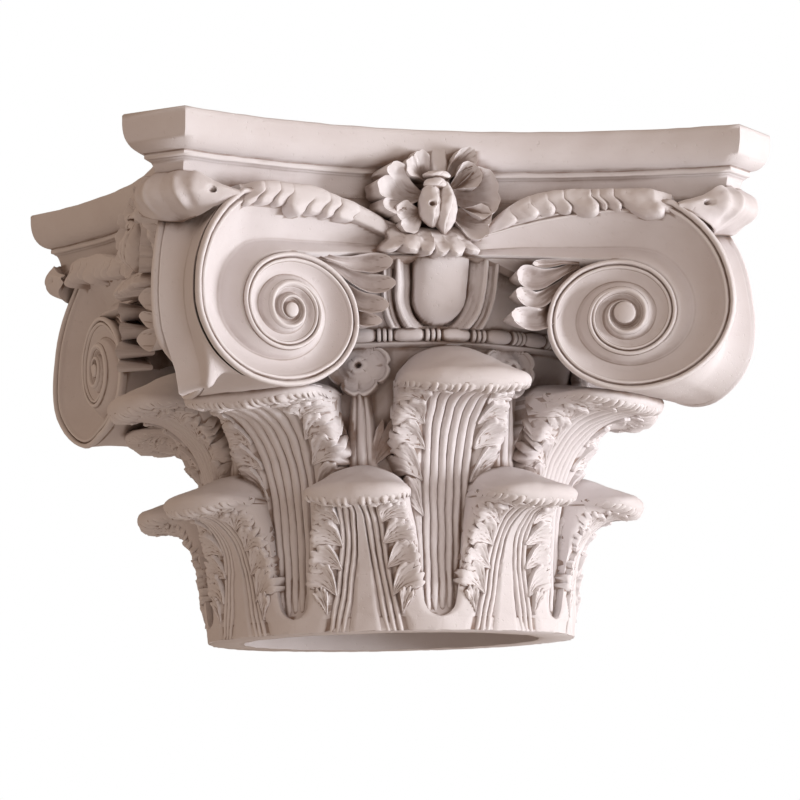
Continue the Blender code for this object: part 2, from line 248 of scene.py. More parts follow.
def on_face(along, height, out=0.0):
    """Points of the front side's hollow face: along it, up it and out from it."""
    along, height, out = np.broadcast_arrays(along, height, out)
    angle = along / FACE_ARC
    radius = FACE_ARC - out
    return np.stack([radius * np.sin(angle), radius * np.cos(angle) - SIDE_CENTRE, height], -1)


def on_flank(along, height, out=0.0, low_step=0.0):
    """The same place on the next side's face. It lies further in towards the corner, and low down."""
    x, y, z = np.moveaxis(on_face(along, height, out), -1, 0)
    inward = smooth(along, 0.70, 1.42)
    step = (0.128 + (0.06 * smooth(1.5 - z, 0, 0.3) if low_step else 0.0)) * inward
    step = step + low_step * smooth(1.75 - z, 0, 0.5) * (1 - smooth(along, 1.12, 1.42))
    return np.stack([-y - step, -x - 0.075 * inward, z], -1)


def on_left_flank(along, height, out=0.0):
    """The flank at the front's left corner, which leans in low down."""
    return on_flank(along, height, out, 0.14) * [-1, 1, 1]


def to_left(place):
    """The same way of placing points, mirrored to the left of the front side."""

    def placed(along, height, out=0.0):
        return place(along, height, out) * [-1, 1, 1]

    return placed


def curve_through(points, count, closed=False):
    """count points, evenly spaced, on a smooth curve through the given ones."""
    points = np.asarray(points, float)
    first = 2 * points[0] - points[1]
    last = 2 * points[-1] - points[-2]
    if closed:
        points = np.vstack([points, points[:1]])
        first, last = points[-2], points[1]
    p = np.vstack([first, points, last])
    dense = []
    for a, b, c, d in zip(p, p[1:], p[2:], p[3:]):
        for t in np.linspace(0, 1, 24, endpoint=False):
            dense.append(
                0.5 * (2 * b + (c - a) * t + (2 * a - 5 * b + 4 * c - d) * t**2)
                + 0.5 * (3 * b - a - 3 * c + d) * t**3
            )
    dense.append(points[-1])
    dense = np.array(dense)
    length = np.concatenate([[0], np.cumsum(np.linalg.norm(np.diff(dense, axis=0), axis=1))])
    where = np.linspace(0, length[-1], count + (1 if closed else 0))
    found = np.stack([np.interp(where, length, dense[:, k]) for k in range(dense.shape[1])], -1)
    return found[:-1] if closed else found


def uneven(points, size, depth, seed=0.0):
    """Soft hand-made unevenness: a displacement for each point, in waves of about this size."""
    p = np.asarray(points) * (math.tau / size)
    x, y, z = p[:, 0], p[:, 1], p[:, 2]
    waves = [
        np.sin(1.0 * x + 1.7 * np.sin(0.7 * y + seed) + 0.9 * z + seed),
        np.sin(1.3 * y + 1.5 * np.sin(0.8 * z + 2.1) - 0.6 * x + 1.3 * seed),
        np.sin(1.1 * z + 1.6 * np.sin(0.9 * x + 4.0) + 0.8 * y + 0.7 * seed),
    ]
    return np.stack(waves, -1) * depth


# Meshes


def grid_quads(rows, columns, ring_rows=False, ring_columns=False):
    """Four-sided faces of a grid of points, closed into a ring along its rows or columns if asked."""
    i = np.arange(rows if ring_rows else rows - 1)[:, None]
    j = np.arange(columns if ring_columns else columns - 1)[None, :]
    a = i * columns + j
    b = i * columns + (j + 1) % columns
    c = (i + 1) % rows * columns + (j + 1) % columns
    d = (i + 1) % rows * columns + j
    return np.stack(np.broadcast_arrays(a, b, c, d), -1).reshape(-1, 4)


class Shape:
    """Points and faces of a piece in the making, in modules."""

    def __init__(self):
        self.points = []
        self.quads = []
        self.triangles = []
        self.count = 0

    def _keep(self, points, quads=None, triangles=None):
        """Adds points, with faces that count from the first of them."""
        points = np.asarray(points, float).reshape(-1, 3)
        if quads is not None:
            self.quads.append(np.asarray(quads) + self.count)
        if triangles is not None:
            self.triangles.append(np.asarray(triangles) + self.count)
        self.points.append(points)
        self.count += len(points)

    def sheet(self, grid, ring_rows=False, ring_columns=False):
        """The grid's own faces and no more."""
        rows, columns = grid.shape[:2]
        self._keep(grid, grid_quads(rows, columns, ring_rows, ring_columns))

    def loft(self, grid):
        """A closed solid: each row is a ring, and the first and last rings are filled."""
        rows, columns = grid.shape[:2]
        j = np.arange(columns)
        triangles = []
        middles = [grid[0].mean(0), grid[-1].mean(0)]
        for k, first in enumerate((0, (rows - 1) * columns)):
            apex = np.full(columns, rows * columns + k)
            triangles.append(np.stack([first + j, first + (j + 1) % columns, apex], -1))
        points = np.vstack([grid.reshape(-1, 3), middles])
        quads = grid_quads(rows, columns, ring_columns=True)
        self._keep(points, quads, np.vstack(triangles))

    def patch(self, grid, under, middle=None):
        """A closed solid: the grid, its border let down to the border of the grid under it, filled.

        The filling meets at its middle, given where the grid is too hollow for the border's mean.
        """
        rows, columns = grid.shape[:2]
        index = np.arange(rows * columns).reshape(rows, columns)
        border = np.concatenate([index[0, :-1], index[:-1, -1], index[-1, :0:-1], index[:0:-1, 0]])
        low = under.reshape(-1, 3)[border]
        count, base = len(border), rows * columns
        j = np.arange(count)
        k = (j + 1) % count
        walls = np.stack([border[j], border[k], base + k, base + j], -1)
        fill = np.stack([base + j, base + k, np.full(count, base + count)], -1)
        middle = low.mean(0) if middle is None else middle
        points = np.vstack([grid.reshape(-1, 3), low, middle[None]])
        self._keep(points, np.vstack([grid_quads(rows, columns), walls]), fill)

    def build(self, name, roughness=0.0, sharp=60):
        """The mesh object, in metres, with its faces pointing out."""
        points = np.vstack(self.points)
        if roughness:
            points = points + uneven(points, 0.23, roughness)
            points = points + uneven(points, 0.07, roughness * 0.35, 2.0)
        points = points * MODULE
        mesh = bpy.data.meshes.new(name)
        faces = [row for block in self.quads for row in block.tolist()]
        faces += [row for block in self.triangles for row in block.tolist()]
        mesh.from_pydata(points.tolist(), [], faces)
        edit = bmesh.new()
        edit.from_mesh(mesh)
        bmesh.ops.remove_doubles(edit, verts=edit.verts, dist=1e-6)
        bmesh.ops.dissolve_degenerate(edit, edges=edit.edges, dist=1e-7)
        bmesh.ops.recalc_face_normals(edit, faces=edit.faces)
        edit.to_mesh(mesh)
        edit.free()
        mesh.shade_smooth()
        mesh.set_sharp_from_angle(angle=math.radians(sharp))
        obj = bpy.data.objects.new(name, mesh)
        bpy.context.scene.collection.objects.link(obj)
        return obj


def mesh_arrays(mesh):
    """Points, normals and edges of a mesh as arrays."""
    count = len(mesh.vertices)
    points = np.empty(count * 3, np.float32)
    normals = np.empty(count * 3, np.float32)
    edges = np.empty(len(mesh.edges) * 2, np.int32)
    mesh.vertices.foreach_get("co", points)
    mesh.vertex_normals.foreach_get("vector", normals)
    mesh.edges.foreach_get("vertices", edges)
    return points.reshape(-1, 3), normals.reshape(-1, 3), edges.reshape(-1, 2)


def crests(points, normals, edges, size=0.0035):
    """How sharply each point stands up (above 0) or lies in a groove (below 0)."""
    a, b = edges.T
    step = points[b] - points[a]
    length = np.maximum((step**2).sum(1), 1e-10)
    total = np.zeros(len(points))
    count = np.zeros(len(points))
    for here, sign in ((a, 1), (b, -1)):
        bend = (step * normals[here]).sum(1) * sign / length
        total += np.bincount(here, bend, len(points))
        count += np.bincount(here, minlength=len(points))
    return np.clip(-total / np.maximum(count, 1) * size, -1, 1)


def mark_painted_light_and_rubbing(reach, rays=16):
    """Marks how closed in ("recess") and how sharp ("crest") every spot of every piece is, for the painted
    shade in hollows and grooves and for the paler crests, partly rubbed and partly painted highlight.
    """
    pieces = [(bpy.data.objects[name], repeats) for name, repeats in PIECES.items()]
    lift = 0.0003  # rays start this far off the surface
    corners, faces, start = [], [], 0
    for obj, _ in pieces:
        points = mesh_arrays(obj.data)[0]
        corners += points.tolist()
        faces += [tuple(start + v for v in face.vertices) for face in obj.data.polygons]
        start += len(points)
    tree = BVHTree.FromPolygons(corners, faces)
    golden = math.pi * (3 - math.sqrt(5))
    fan = []
    for k in range(rays):
        height = math.sqrt(1 - (k + 0.5) / rays)
        width = math.sqrt(1 - height**2)
        fan.append(Vector((width * math.cos(golden * k), width * math.sin(golden * k), height)))
    up = Vector((0, 0, 1))
    for obj, repeats in pieces:
        points, normals, edges = mesh_arrays(obj.data)
        first = len(points) // repeats  # the others stand just like the first
        values = np.zeros(first, np.float32)
        for k in range(first):
            normal = Vector(normals[k])
            turn = up.rotation_difference(normal).to_matrix()
            start_point = Vector(points[k]) + normal * lift
            closed = 0.0
            for ray in fan:
                distance = tree.ray_cast(start_point, turn @ ray, reach)[3]
                if distance is not None:
                    closed += 1 - distance / reach
            values[k] = closed / rays
        recess = obj.data.attributes.new("recess", "FLOAT", "POINT")
        recess.data.foreach_set("value", np.tile(values, repeats).astype(np.float32))
        crest = obj.data.attributes.new("crest", "FLOAT", "POINT")
        crest.data.foreach_set("value", crests(points, normals, edges).astype(np.float32))


# Repeating round the axis, with Geometry Nodes


def add_socket(tree, name, kind, default=None, is_output=False):
    """A named input or output of a node tree."""
    in_out = "OUTPUT" if is_output else "INPUT"
    socket = tree.interface.new_socket(name=name, in_out=in_out, socket_type=kind)
    if default is not None:
        socket.default_value = default
    return socket


def ring_tree():
    """Copies of one piece, turned evenly about the axis."""
    tree = bpy.data.node_groups.get("ring_of_pieces")
    if tree:
        return tree
    tree = bpy.data.node_groups.new("ring_of_pieces", "GeometryNodeTree")
    add_socket(tree, "Geometry", "NodeSocketGeometry", is_output=True)
    add_socket(tree, "Piece", "NodeSocketObject")
    add_socket(tree, "Count", "NodeSocketInt", 8)
    add_socket(tree, "First Turn", "NodeSocketFloat", 0.0)
    add_socket(tree, "Finish", "NodeSocketMaterial")
    nodes, links = tree.nodes, tree.links
    inputs = nodes.new("NodeGroupInput")
    output = nodes.new("NodeGroupOutput")
    line = nodes.new("GeometryNodeMeshLine")
    line.inputs["Offset"].default_value = (0, 0, 0)
    piece = nodes.new("GeometryNodeObjectInfo")
    piece.inputs["As Instance"].default_value = True
    place = nodes.new("GeometryNodeInstanceOnPoints")
    index = nodes.new("GeometryNodeInputIndex")
    share = nodes.new("ShaderNodeMath")
    share.operation = "DIVIDE"
    turn = nodes.new("ShaderNodeMath")
    turn.operation = "MULTIPLY_ADD"
    turn.inputs[1].default_value = math.tau
    axis = nodes.new("ShaderNodeCombineXYZ")
    real = nodes.new("GeometryNodeRealizeInstances")
    finish = nodes.new("GeometryNodeSetMaterial")
    links.new(inputs.outputs["Count"], line.inputs["Count"])
    links.new(inputs.outputs["Piece"], piece.inputs["Object"])
    links.new(line.outputs["Mesh"], place.inputs["Points"])
    links.new(piece.outputs["Geometry"], place.inputs["Instance"])
    links.new(index.outputs[0], share.inputs[0])
    links.new(inputs.outputs["Count"], share.inputs[1])
    links.new(share.outputs[0], turn.inputs[0])
    links.new(inputs.outputs["First Turn"], turn.inputs[2])
    links.new(turn.outputs[0], axis.inputs["Z"])
    links.new(axis.outputs[0], place.inputs["Rotation"])
    links.new(place.outputs["Instances"], real.inputs["Geometry"])
    links.new(real.outputs["Geometry"], finish.inputs["Geometry"])
    links.new(inputs.outputs["Finish"], finish.inputs["Material"])
    links.new(finish.outputs["Geometry"], output.inputs["Geometry"])
    return tree


def socket_id(tree, name):
    """The identifier of a node tree's input."""
    for item in tree.interface.items_tree:
        if item.item_type == "SOCKET" and item.in_out == "INPUT" and item.name == name:
            return item.identifier
    raise KeyError(name)


def repeated(name, piece, first_turn, material, count=None):
    """A plain mesh of the piece repeated round the axis. The single piece is removed."""
    count = count or PIECES[name]
    tree = ring_tree()
    holder = bpy.data.objects.new(name + "_ring", bpy.data.meshes.new(name + "_ring"))
    bpy.context.scene.collection.objects.link(holder)
    modifier = holder.modifiers.new("ring", "NODES")
    modifier.node_group = tree
    values = {"Piece": piece, "Count": count, "First Turn": first_turn, "Finish": material}
    for label, value in values.items():
        modifier[socket_id(tree, label)] = value
    bpy.context.view_layer.update()
    evaluated = holder.evaluated_get(bpy.context.evaluated_depsgraph_get())
    mesh = bpy.data.meshes.new_from_object(evaluated)
    bpy.data.objects.remove(holder)
    bpy.data.objects.remove(piece)
    obj = bpy.data.objects.new(name, mesh)
    bpy.context.scene.collection.objects.link(obj)
    return obj


def joined(name, objects):
    """One object that holds the meshes of several."""
    edit = bmesh.new()
    material = objects[0].data.materials[0]
    for obj in objects:
        edit.from_mesh(obj.data)
        bpy.data.objects.remove(obj)
    mesh = bpy.data.meshes.new(name)
    edit.to_mesh(mesh)
    edit.free()
    mesh.materials.append(material)
    obj = bpy.data.objects.new(name, mesh)
    bpy.context.scene.collection.objects.link(obj)
    return obj


def settle(obj):
    """Hands a finished piece over to the frame."""
    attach(obj, "root")
    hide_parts(NODE)
    return obj


# Acanthus leaves, in modules

VEINS = 3  # in each bundle
LEAF_ROOT = 0.86  # radius at which a leaf's back ends, inside the bell
LEAF_ROOT_SPREAD = 0.7  # width of the root as a share of the leaf's
LEAF_CUP = 0.022  # how far the edges stand in front of the middle
EDGE_ROUNDING = (0.88, 0.9)  # share of the half width where it starts, and how quickly it falls
LIP_KEEP = 0.14  # the share of the hood's rise that its edges keep
FRINGE_PITCH = 0.040
FRINGE_STAND = 0.021
FRINGE_BACK = -0.03
FRINGE_ROWS = (-0.085, -0.075, -0.05, -0.02, 0.01, 0.035, 0.05, 0.06)  # up the leaf from the lip's edge
FRINGE_BODY = (0.0, 0.6, 0.95, 1.0, 0.95, 0.7, 0.35, 0.0)  # how far out each row stands


@dataclass
class Leaf:
    """The outline and the surface of one kind of leaf."""

    front: tuple  # (radius, height) up the front's middle line to under the tip
    tip: tuple  # radius and height of the tip's middle, and its thickness
    dome: tuple  # (radius, height) from behind the tip back to the bell
    widths: tuple  # (height, half width)
    body_radius: float  # where the hood starts to stand out
    lip_rise: float  # how much higher the lip's ends are than its middle
    field: tuple  # half width of the plain field between the veins, at the foot and at the lip
    bundle: tuple  # width of each vein bundle, at the foot and at the lip
    lobes: tuple  # see LOWER_LEAF
    turn: float = 0.0  # about the axis

    def __post_init__(self):
        radius, height, thick = self.tip
        arc = np.linspace(-0.46 * math.pi, 0.42 * math.pi, 9)
        end = np.stack([radius + thick / 2 * (np.cos(arc) - 0.6), height + thick / 2 * np.sin(arc)], -1)
        self.front_line = curve_through(self.front, 160)
        self.line = np.vstack(
            [self.front_line, end, curve_through([end[-1] + (-0.01, 0.002), *self.dome], 80)]
        )
        steps = np.linalg.norm(np.diff(self.line, axis=0), axis=1)
        self.length = np.concatenate([[0], np.cumsum(steps)])
        self.front_length = self.length[len(self.front_line) - 1]
        self.end_length = self.length[len(self.front_line) + len(end) - 1]
        slope = np.gradient(self.line, axis=0)
        slope /= np.linalg.norm(slope, axis=1)[:, None]
        self.normals = np.stack([slope[:, 1], -slope[:, 0]], -1)

    def at_height(self, height):
        """How far up the front line a height is reached."""
        count = len(self.front_line)
        return np.interp(height, self.front_line[:, 1], self.length[:count])

    def half_width(self, height):
        """Half the leaf's width at a height."""
        heights, widths = np.array(self.widths).T
        return np.interp(height, heights, widths)

    def place(self, across, up, out=0.0):
        """Points on the leaf: across it, up its middle line, and out from its face."""
        across, up, out = np.broadcast_arrays(across, up, out)
        radius = np.interp(up, self.length, self.line[:, 0])
        height = np.interp(up, self.length, self.line[:, 1])
        normal_r = np.interp(up, self.length, self.normals[:, 0])
        normal_z = np.interp(up, self.length, self.normals[:, 1])
        q = np.clip(across / self.half_width(height), -1, 1)
        hood = np.maximum(radius - self.body_radius, 0)
        in_hood = smooth(hood / (self.tip[0] - self.body_radius), 0.0, 0.55)
        lip = self.front_line[-1, 1]
        rise = self.lip_rise * q**2
        over = (height - lip) * (LIP_KEEP + (1 - LIP_KEEP) * (1 - q**2) ** 0.75)
        height = np.where(up > self.front_length, lip + rise + over, height + rise * in_hood)
        plan = (1 - 0.30 * np.abs(q) ** 2.5) * (1 - np.abs(q) ** 14) ** 0.5
        radius = np.minimum(radius, self.body_radius) + hood * plan
        start, fall = EDGE_ROUNDING
        edge = np.maximum(np.abs(across) / self.half_width(height) - start, 0)
        radius = radius - fall * edge**2
        cup = LEAF_CUP * q**2 * (1 - in_hood)
        return round_axis(
            radius + out * normal_r + cup,
            self.turn + across / self.body_radius,
            height + out * normal_z,
        )


def leaf_body(shape, leaf, relief):
    """The leaf's sheet, with its veins, closed back into the bell."""
    bend = leaf.at_height(leaf.tip[1] * 0.62)
    rows = np.concatenate(
        [
            np.linspace(0, 0.066, 3, endpoint=False),
            np.linspace(0.066, 0.096, 7, endpoint=False),
            np.linspace(0.096, 0.20, 7, endpoint=False),
            np.linspace(0.20, bend, 13, endpoint=False),
            np.linspace(bend, leaf.front_length, 22, endpoint=False),
            np.linspace(leaf.front_length, leaf.end_length, 8, endpoint=False),
            np.linspace(leaf.end_length, leaf.length[-1], 16),
        ]
    )
    veined = np.linspace(0, 1, 6 * VEINS + 1)
    outer = np.linspace(0, 1, 11)[1:] ** 0.8
    lines = []
    for up in rows:
        share = min(1.0, up / leaf.front_length)
        height = np.interp(up, leaf.length, leaf.line[:, 1])
        width = float(leaf.half_width(height))
        near = leaf.field[1] + (leaf.field[0] - leaf.field[1]) * (1 - share) ** 2
        far = near + leaf.bundle[0] + (leaf.bundle[1] - leaf.bundle[0]) * share
        plain = np.linspace(0, near, 4, endpoint=False) if near > 0.005 else np.zeros(0)
        half = np.concatenate([plain, near + (far - near) * veined, far + (width - far) * outer])
        grooves = (ridges(veined, VEINS) - 1) * relief
        grooves *= 1 - smooth(up, leaf.front_length - 0.03, leaf.front_length)
        depth = np.concatenate([0 * plain, grooves, 0 * outer])
        across = np.concatenate([-half[:0:-1], half])
        line = leaf.place(across, up, np.concatenate([depth[:0:-1], depth]))
        root_height = np.clip(line[0, 2], leaf.line[0, 1], leaf.line[-1, 1])
        spread = np.array([LEAF_ROOT_SPREAD, -LEAF_ROOT_SPREAD]) * width / LEAF_ROOT
        roots = round_axis(LEAF_ROOT, leaf.turn + spread, root_height)
        lines.append(np.vstack([line, roots]))
    shape.loft(np.array(lines))


def leaf_fringe(shape, leaf):
    """Small teeth along the lower edge of the leaf's lip."""
    width = float(leaf.half_width(leaf.tip[1]))
    spots = np.linspace(-0.985, 0.985, 300) * width
    line = leaf.place(spots, leaf.front_length)
    length = np.concatenate([[0], np.cumsum(np.linalg.norm(np.diff(line, axis=0), axis=1))])
    count = int(round(length[-1] / FRINGE_PITCH))
    share = np.linspace(0, 1, 6 * count + 1)[None, :]
    across = np.interp(share * length[-1], length, spots)
    rows, body = np.array([FRINGE_ROWS, FRINGE_BODY])[:, :, None]
    uneven_share = share + 0.006 * np.sin(31 * share) + 0.003 * np.sin(83 * share)
    teeth = np.abs(np.sin(math.pi * count * uneven_share)) ** 0.6
    out = -0.006 + FRINGE_STAND * teeth * body * (0.85 + 0.25 * np.sin(47 * share))
    up = leaf.front_length + rows - 0.012 * (1 - teeth) * (rows < 0)
    shape.patch(leaf.place(across, up, out), leaf.place(across, up, FRINGE_BACK + 0 * out))


def hand(
    shape, place, root, lean, length, spread, fingers, out, lift, cup, relief, curl, notch,
    under=-0.06, plain=0.0, slender=0.55, lumps=0.0, steps=16,
):
    """A cupped palm with fingers round its far edge. A lean of 0 degrees points up, 90 outwards.

    It stands out from the surface at its root, lifts towards its far edge, is cupped between,
    and turns by the curl on its way. The relief is the fingers' and the notch the share of the length
    between them. The plain share of the far edge, on its inner side, has no fingers. Lumps are
    hand-made unevenness.
    """
    a = np.linspace(-1, 1, max(6 * fingers + int(8 * plain), steps) + 1)[None, :]
    r = np.concatenate([np.linspace(0.03, 0.86, 9), [0.93, 0.97, 1.0]])[:, None]
    share = (a + 1) / 2
    fingered = np.clip((share - plain) / (1 - plain), 0, 1)
    waves = np.abs(np.sin(math.pi * fingers * fingered))
    waves = np.where(fingered * fingers < 0.5, 1.0, waves) if plain else waves
    waves = waves * (0.80 + 0.20 * np.sin(17 * a + 40 * root[1] + lean))
    reach = length * (1 - 0.20 * a**2) * (1 - notch * (1 - waves**slender))
    angle = math.radians(lean) + math.radians(spread) * a * (0.75 + 0.25 * r) + math.radians(curl) * r**2
    across = root[0] + r * reach * np.sin(angle)
    up = root[1] + r * reach * np.cos(angle)
    stand = out + lift * r**1.5 - cup * np.sin(math.pi * r**0.9) * (1 - 0.9 * a**2)
    stand = stand + relief * (waves**0.8 - 0.5) * smooth(r, 0.15, 0.6)
    stand = stand - 0.45 * relief * smooth(r, 0.93, 1.0) - 0.5 * relief * np.abs(a) ** 6
    lump = np.sin(95 * across + 3 * np.sin(60 * up)) * np.sin(80 * up + 2 * np.sin(70 * across))
    stand = stand + lumps * lump
    shape.patch(place(across, up, stand), place(across, up, under + 0 * stand))


def varied(lobe, k):
    """A lobe with a little of the unevenness of hand work."""
    root, lean, length, spread, *rest = lobe
    root = (root[0] + 0.006 * math.sin(2.1 * k), root[1] + 0.008 * math.sin(3.7 * k + 1))
    return root, lean + 4 * math.sin(1.7 * k), length * (1 + 0.05 * math.sin(2.9 * k + 2)), spread, *rest


def make_leaves(name, leaf, first_turn, sizes, material):
    """One ring of leaves: the sheet with its veins, its toothed lip, and lobes down both sides."""
    shape = Shape()
    leaf_body(shape, leaf, sizes.vein_depth / MODULE)
    leaf_fringe(shape, leaf)
    for side in (-1, 1):

        def place(across, up, out, side=side):
            return leaf.place(side * across, up, out)

        for k, lobe in enumerate(leaf.lobes):
            hand(shape, place, *varied(lobe, 2 * k + side), plain=0.14, slender=0.45, lumps=0.003)
    obj = shape.build(name + "_single", roughness=0.0020 * sizes.unevenness)
    return repeated(name, obj, first_turn, material)


# Each lobe: its root across the leaf and up it, and its lean, length, spread, fingers, out, lift, cup,
# relief, curl and notch, as hand takes them.
LOWER_LEAF = Leaf(
    front=(
        (0.992, 0.003), (1.0, 0.2), (1.012, 0.36), (1.05, 0.49), (1.14, 0.59), (1.24, 0.628), (1.335, 0.633),
    ),
    tip=(1.365, 0.69, 0.115),
    dome=((1.24, 0.785), (1.10, 0.84), (0.98, 0.865), (0.90, 0.87)),
    widths=(
        (0, 0.440), (0.069, 0.440), (0.0725, 0.408), (0.077, 0.388), (0.083, 0.370), (0.092, 0.353),
        (0.105, 0.338), (0.123, 0.326), (0.147, 0.316), (0.185, 0.308), (0.24, 0.300), (0.45, 0.285),
        (0.54, 0.270), (0.62, 0.250), (0.90, 0.235),
    ),
    body_radius=1.03,
    lip_rise=0.06,
    field=(0.105, 0.012),
    bundle=(0.105, 0.085),
    lobes=(
        ((0.082, 0.690), 14, 0.140, 50, 4, 0.004, 0.010, 0.010, 0.010, 6, 0.20),
        ((0.098, 0.575), 36, 0.170, 44, 5, 0.008, 0.014, 0.014, 0.011, 8, 0.22),
        ((0.104, 0.445), 46, 0.200, 40, 5, 0.012, 0.018, 0.018, 0.012, 10, 0.22),
        ((0.118, 0.310), 46, 0.200, 36, 4, 0.014, 0.020, 0.020, 0.012, 10, 0.22),
        ((0.145, 0.175), 32, 0.215, 30, 4, 0.014, 0.020, 0.020, 0.012, 12, 0.24),
        ((0.205, 0.085), 8, 0.150, 20, 3, 0.010, 0.014, 0.014, 0.012, 6, 0.24),
    ),
)
UPPER_LEAF = Leaf(
    front=(
        (0.955, 0.08), (0.965, 0.4), (0.985, 0.7), (1.03, 0.92),
        (1.10, 1.06), (1.22, 1.155), (1.36, 1.185), (1.50, 1.188),
    ),
    tip=(1.528, 1.25, 0.125),
    dome=((1.38, 1.37), (1.22, 1.44), (1.08, 1.475), (0.98, 1.48)),
    widths=(
        (0, 0.16), (0.15, 0.17), (0.50, 0.19), (0.70, 0.22), (0.90, 0.275),
        (1.08, 0.308), (1.18, 0.305), (1.50, 0.295),
    ),
    body_radius=1.10,
    lip_rise=0.06,
    field=(0.0, 0.0),
    bundle=(0.140, 0.150),
    lobes=(
        ((0.160, 1.270), 8, 0.155, 50, 5, 0.004, 0.010, 0.010, 0.010, 4, 0.20),
        ((0.150, 1.150), 30, 0.185, 46, 5, 0.008, 0.014, 0.014, 0.011, 8, 0.22),
        ((0.142, 1.005), 44, 0.215, 42, 5, 0.010, 0.018, 0.018, 0.012, 8, 0.22),
        ((0.138, 0.855), 46, 0.240, 38, 5, 0.012, 0.022, 0.022, 0.013, 10, 0.24),
        ((0.138, 0.685), 40, 0.265, 32, 5, 0.012, 0.026, 0.022, 0.013, 12, 0.24),
        ((0.138, 0.505), 28, 0.255, 24, 4, 0.012, 0.026, 0.018, 0.013, 10, 0.24),
    ),
    turn=0.05,
)
CORNER_LEAF = Leaf(
    front=(
        (0.955, 0.08), (0.965, 0.4), (0.985, 0.62), (1.03, 0.82),
        (1.11, 0.97), (1.24, 1.08), (1.40, 1.125), (1.56, 1.135),
    ),
    tip=(1.592, 1.185, 0.10),
    dome=((1.45, 1.25), (1.28, 1.28), (1.10, 1.31), (0.98, 1.32)),
    widths=((0, 0.13), (0.15, 0.17), (0.60, 0.20), (0.80, 0.28), (1.00, 0.325), (1.50, 0.33)),
    body_radius=1.10,
    lip_rise=0.07,
    field=(0.0, 0.0),
    bundle=(0.145, 0.165),
    lobes=(
        ((0.182, 1.230), 8, 0.165, 50, 5, 0.004, 0.010, 0.010, 0.010, 4, 0.20),
        ((0.172, 1.095), 30, 0.195, 46, 5, 0.008, 0.014, 0.014, 0.011, 8, 0.22),
        ((0.160, 0.945), 44, 0.220, 42, 5, 0.010, 0.018, 0.018, 0.012, 8, 0.22),
        ((0.156, 0.790), 46, 0.240, 38, 5, 0.012, 0.022, 0.022, 0.013, 10, 0.24),
        ((0.152, 0.615), 40, 0.260, 32, 5, 0.012, 0.026, 0.022, 0.013, 12, 0.24),
        ((0.146, 0.435), 28, 0.250, 24, 4, 0.012, 0.026, 0.018, 0.013, 10, 0.24),
    ),
)


# Volutes, in modules

RIM = 0.062  # width of the outermost turn's rim
SPIRAL_REACH = 0.585  # from the eye to the outermost point
SPIRAL_SHRINK = 0.475  # what one turn leaves of the reach
SPIRAL_FLAT = 0.38  # the wider the turn, the flatter it is
SPIRAL_TOP = 2.19
SPIRAL_START = -math.pi / 2
SPIRAL_STEP = 0.105
CHANNEL_START = 0.06  # along the face, by the flower
CHANNEL_START_TOP = 1.985
CHANNEL_START_LOW = 1.915
CHANNEL_MIDDLE = 1.945  # height of its middle line
BOWL_WALL = 0.70  # share of the channel's width where it is deepest
FACE_BACK = -0.10  # how far back the spiral faces reach, at their border and in the middle
FACE_MIDDLE_BACK = -0.32
EYE_SHIFT = 0.17  # towards the rim's end, as a share of the eye's radius
EYE_FILL = 0.81  # the eye's round face as a share of the same
EYE_SHARES = (1.12, 1.06, 1.0, 0.93, 0.84, 0.72, 0.4, 0.1)  # from its edge to its middle
EYE_OUTS = (-0.07, -0.01, 0.006, 0.014, 0.018, 0.021, 0.025, 0.026)
CORE_OUT = 0.012  # how far forward the block between two faces stands
BAND_HOLLOW = 0.085
RIGHT_HANG = 0.095  # how far the outer band of a right corner hangs outside its spiral
FOOT_SPOTS = slice(48, 57)  # the outline's spots on the foot below the spiral
FOOT = (
    (1.425, 1.36), (1.415, 1.27), (1.41, 1.20), (1.395, 1.16), (1.36, 1.152),
    (1.33, 1.165), (1.31, 1.20), (1.285, 1.235), (1.24, 1.252),
)


def spiral(turn, inset=0.0):
    """(along, height) on the volute's rim, this far inside its outer edge."""
    turn = np.asarray(turn, float)
    reach = SPIRAL_REACH * SPIRAL_SHRINK ** (turn / math.tau)
    flat = np.where(turn < 0, 0.97, 1 - SPIRAL_FLAT * reach)
    reach = reach - inset
    height = np.minimum(EYE_HEIGHT - reach * flat * np.sin(turn), SPIRAL_TOP - inset)
    return EYE_ALONG + reach * np.cos(turn), height


def droop(turn, amount):
    """How far the outermost turn hangs outside the spiral, on its way down."""
    return amount * np.sin(math.pi * np.clip((np.asarray(turn) + 0.30) / 2.02, 0, 1)) ** 2


def rim_profile(share, turn):
    """The rim's height across its width: a wide bead, a groove and a narrow bead; further in, one bead."""
    pair = np.maximum(0.026 * bump(share, 0.27, 0.54), 0.018 * bump(share, 0.81, 0.38)) - 0.004
    single = 0.030 * np.sin(math.pi * share) ** 0.75 - 0.004
    return pair + (single - pair) * smooth(turn, 1.35 * math.tau, 1.75 * math.tau)


def proud(turn):
    """How far forward the spiral stands; a little more towards its eye."""
    return 0.036 + 0.014 * smooth(turn, math.tau, 2.3 * math.tau)


def channel_top(share):
    """Height of the channel's upper edge, from the flower (0) to above the eye (1)."""
    return CHANNEL_START_TOP + (SPIRAL_TOP - CHANNEL_START_TOP) * (1 - (1 - share) ** 1.7)


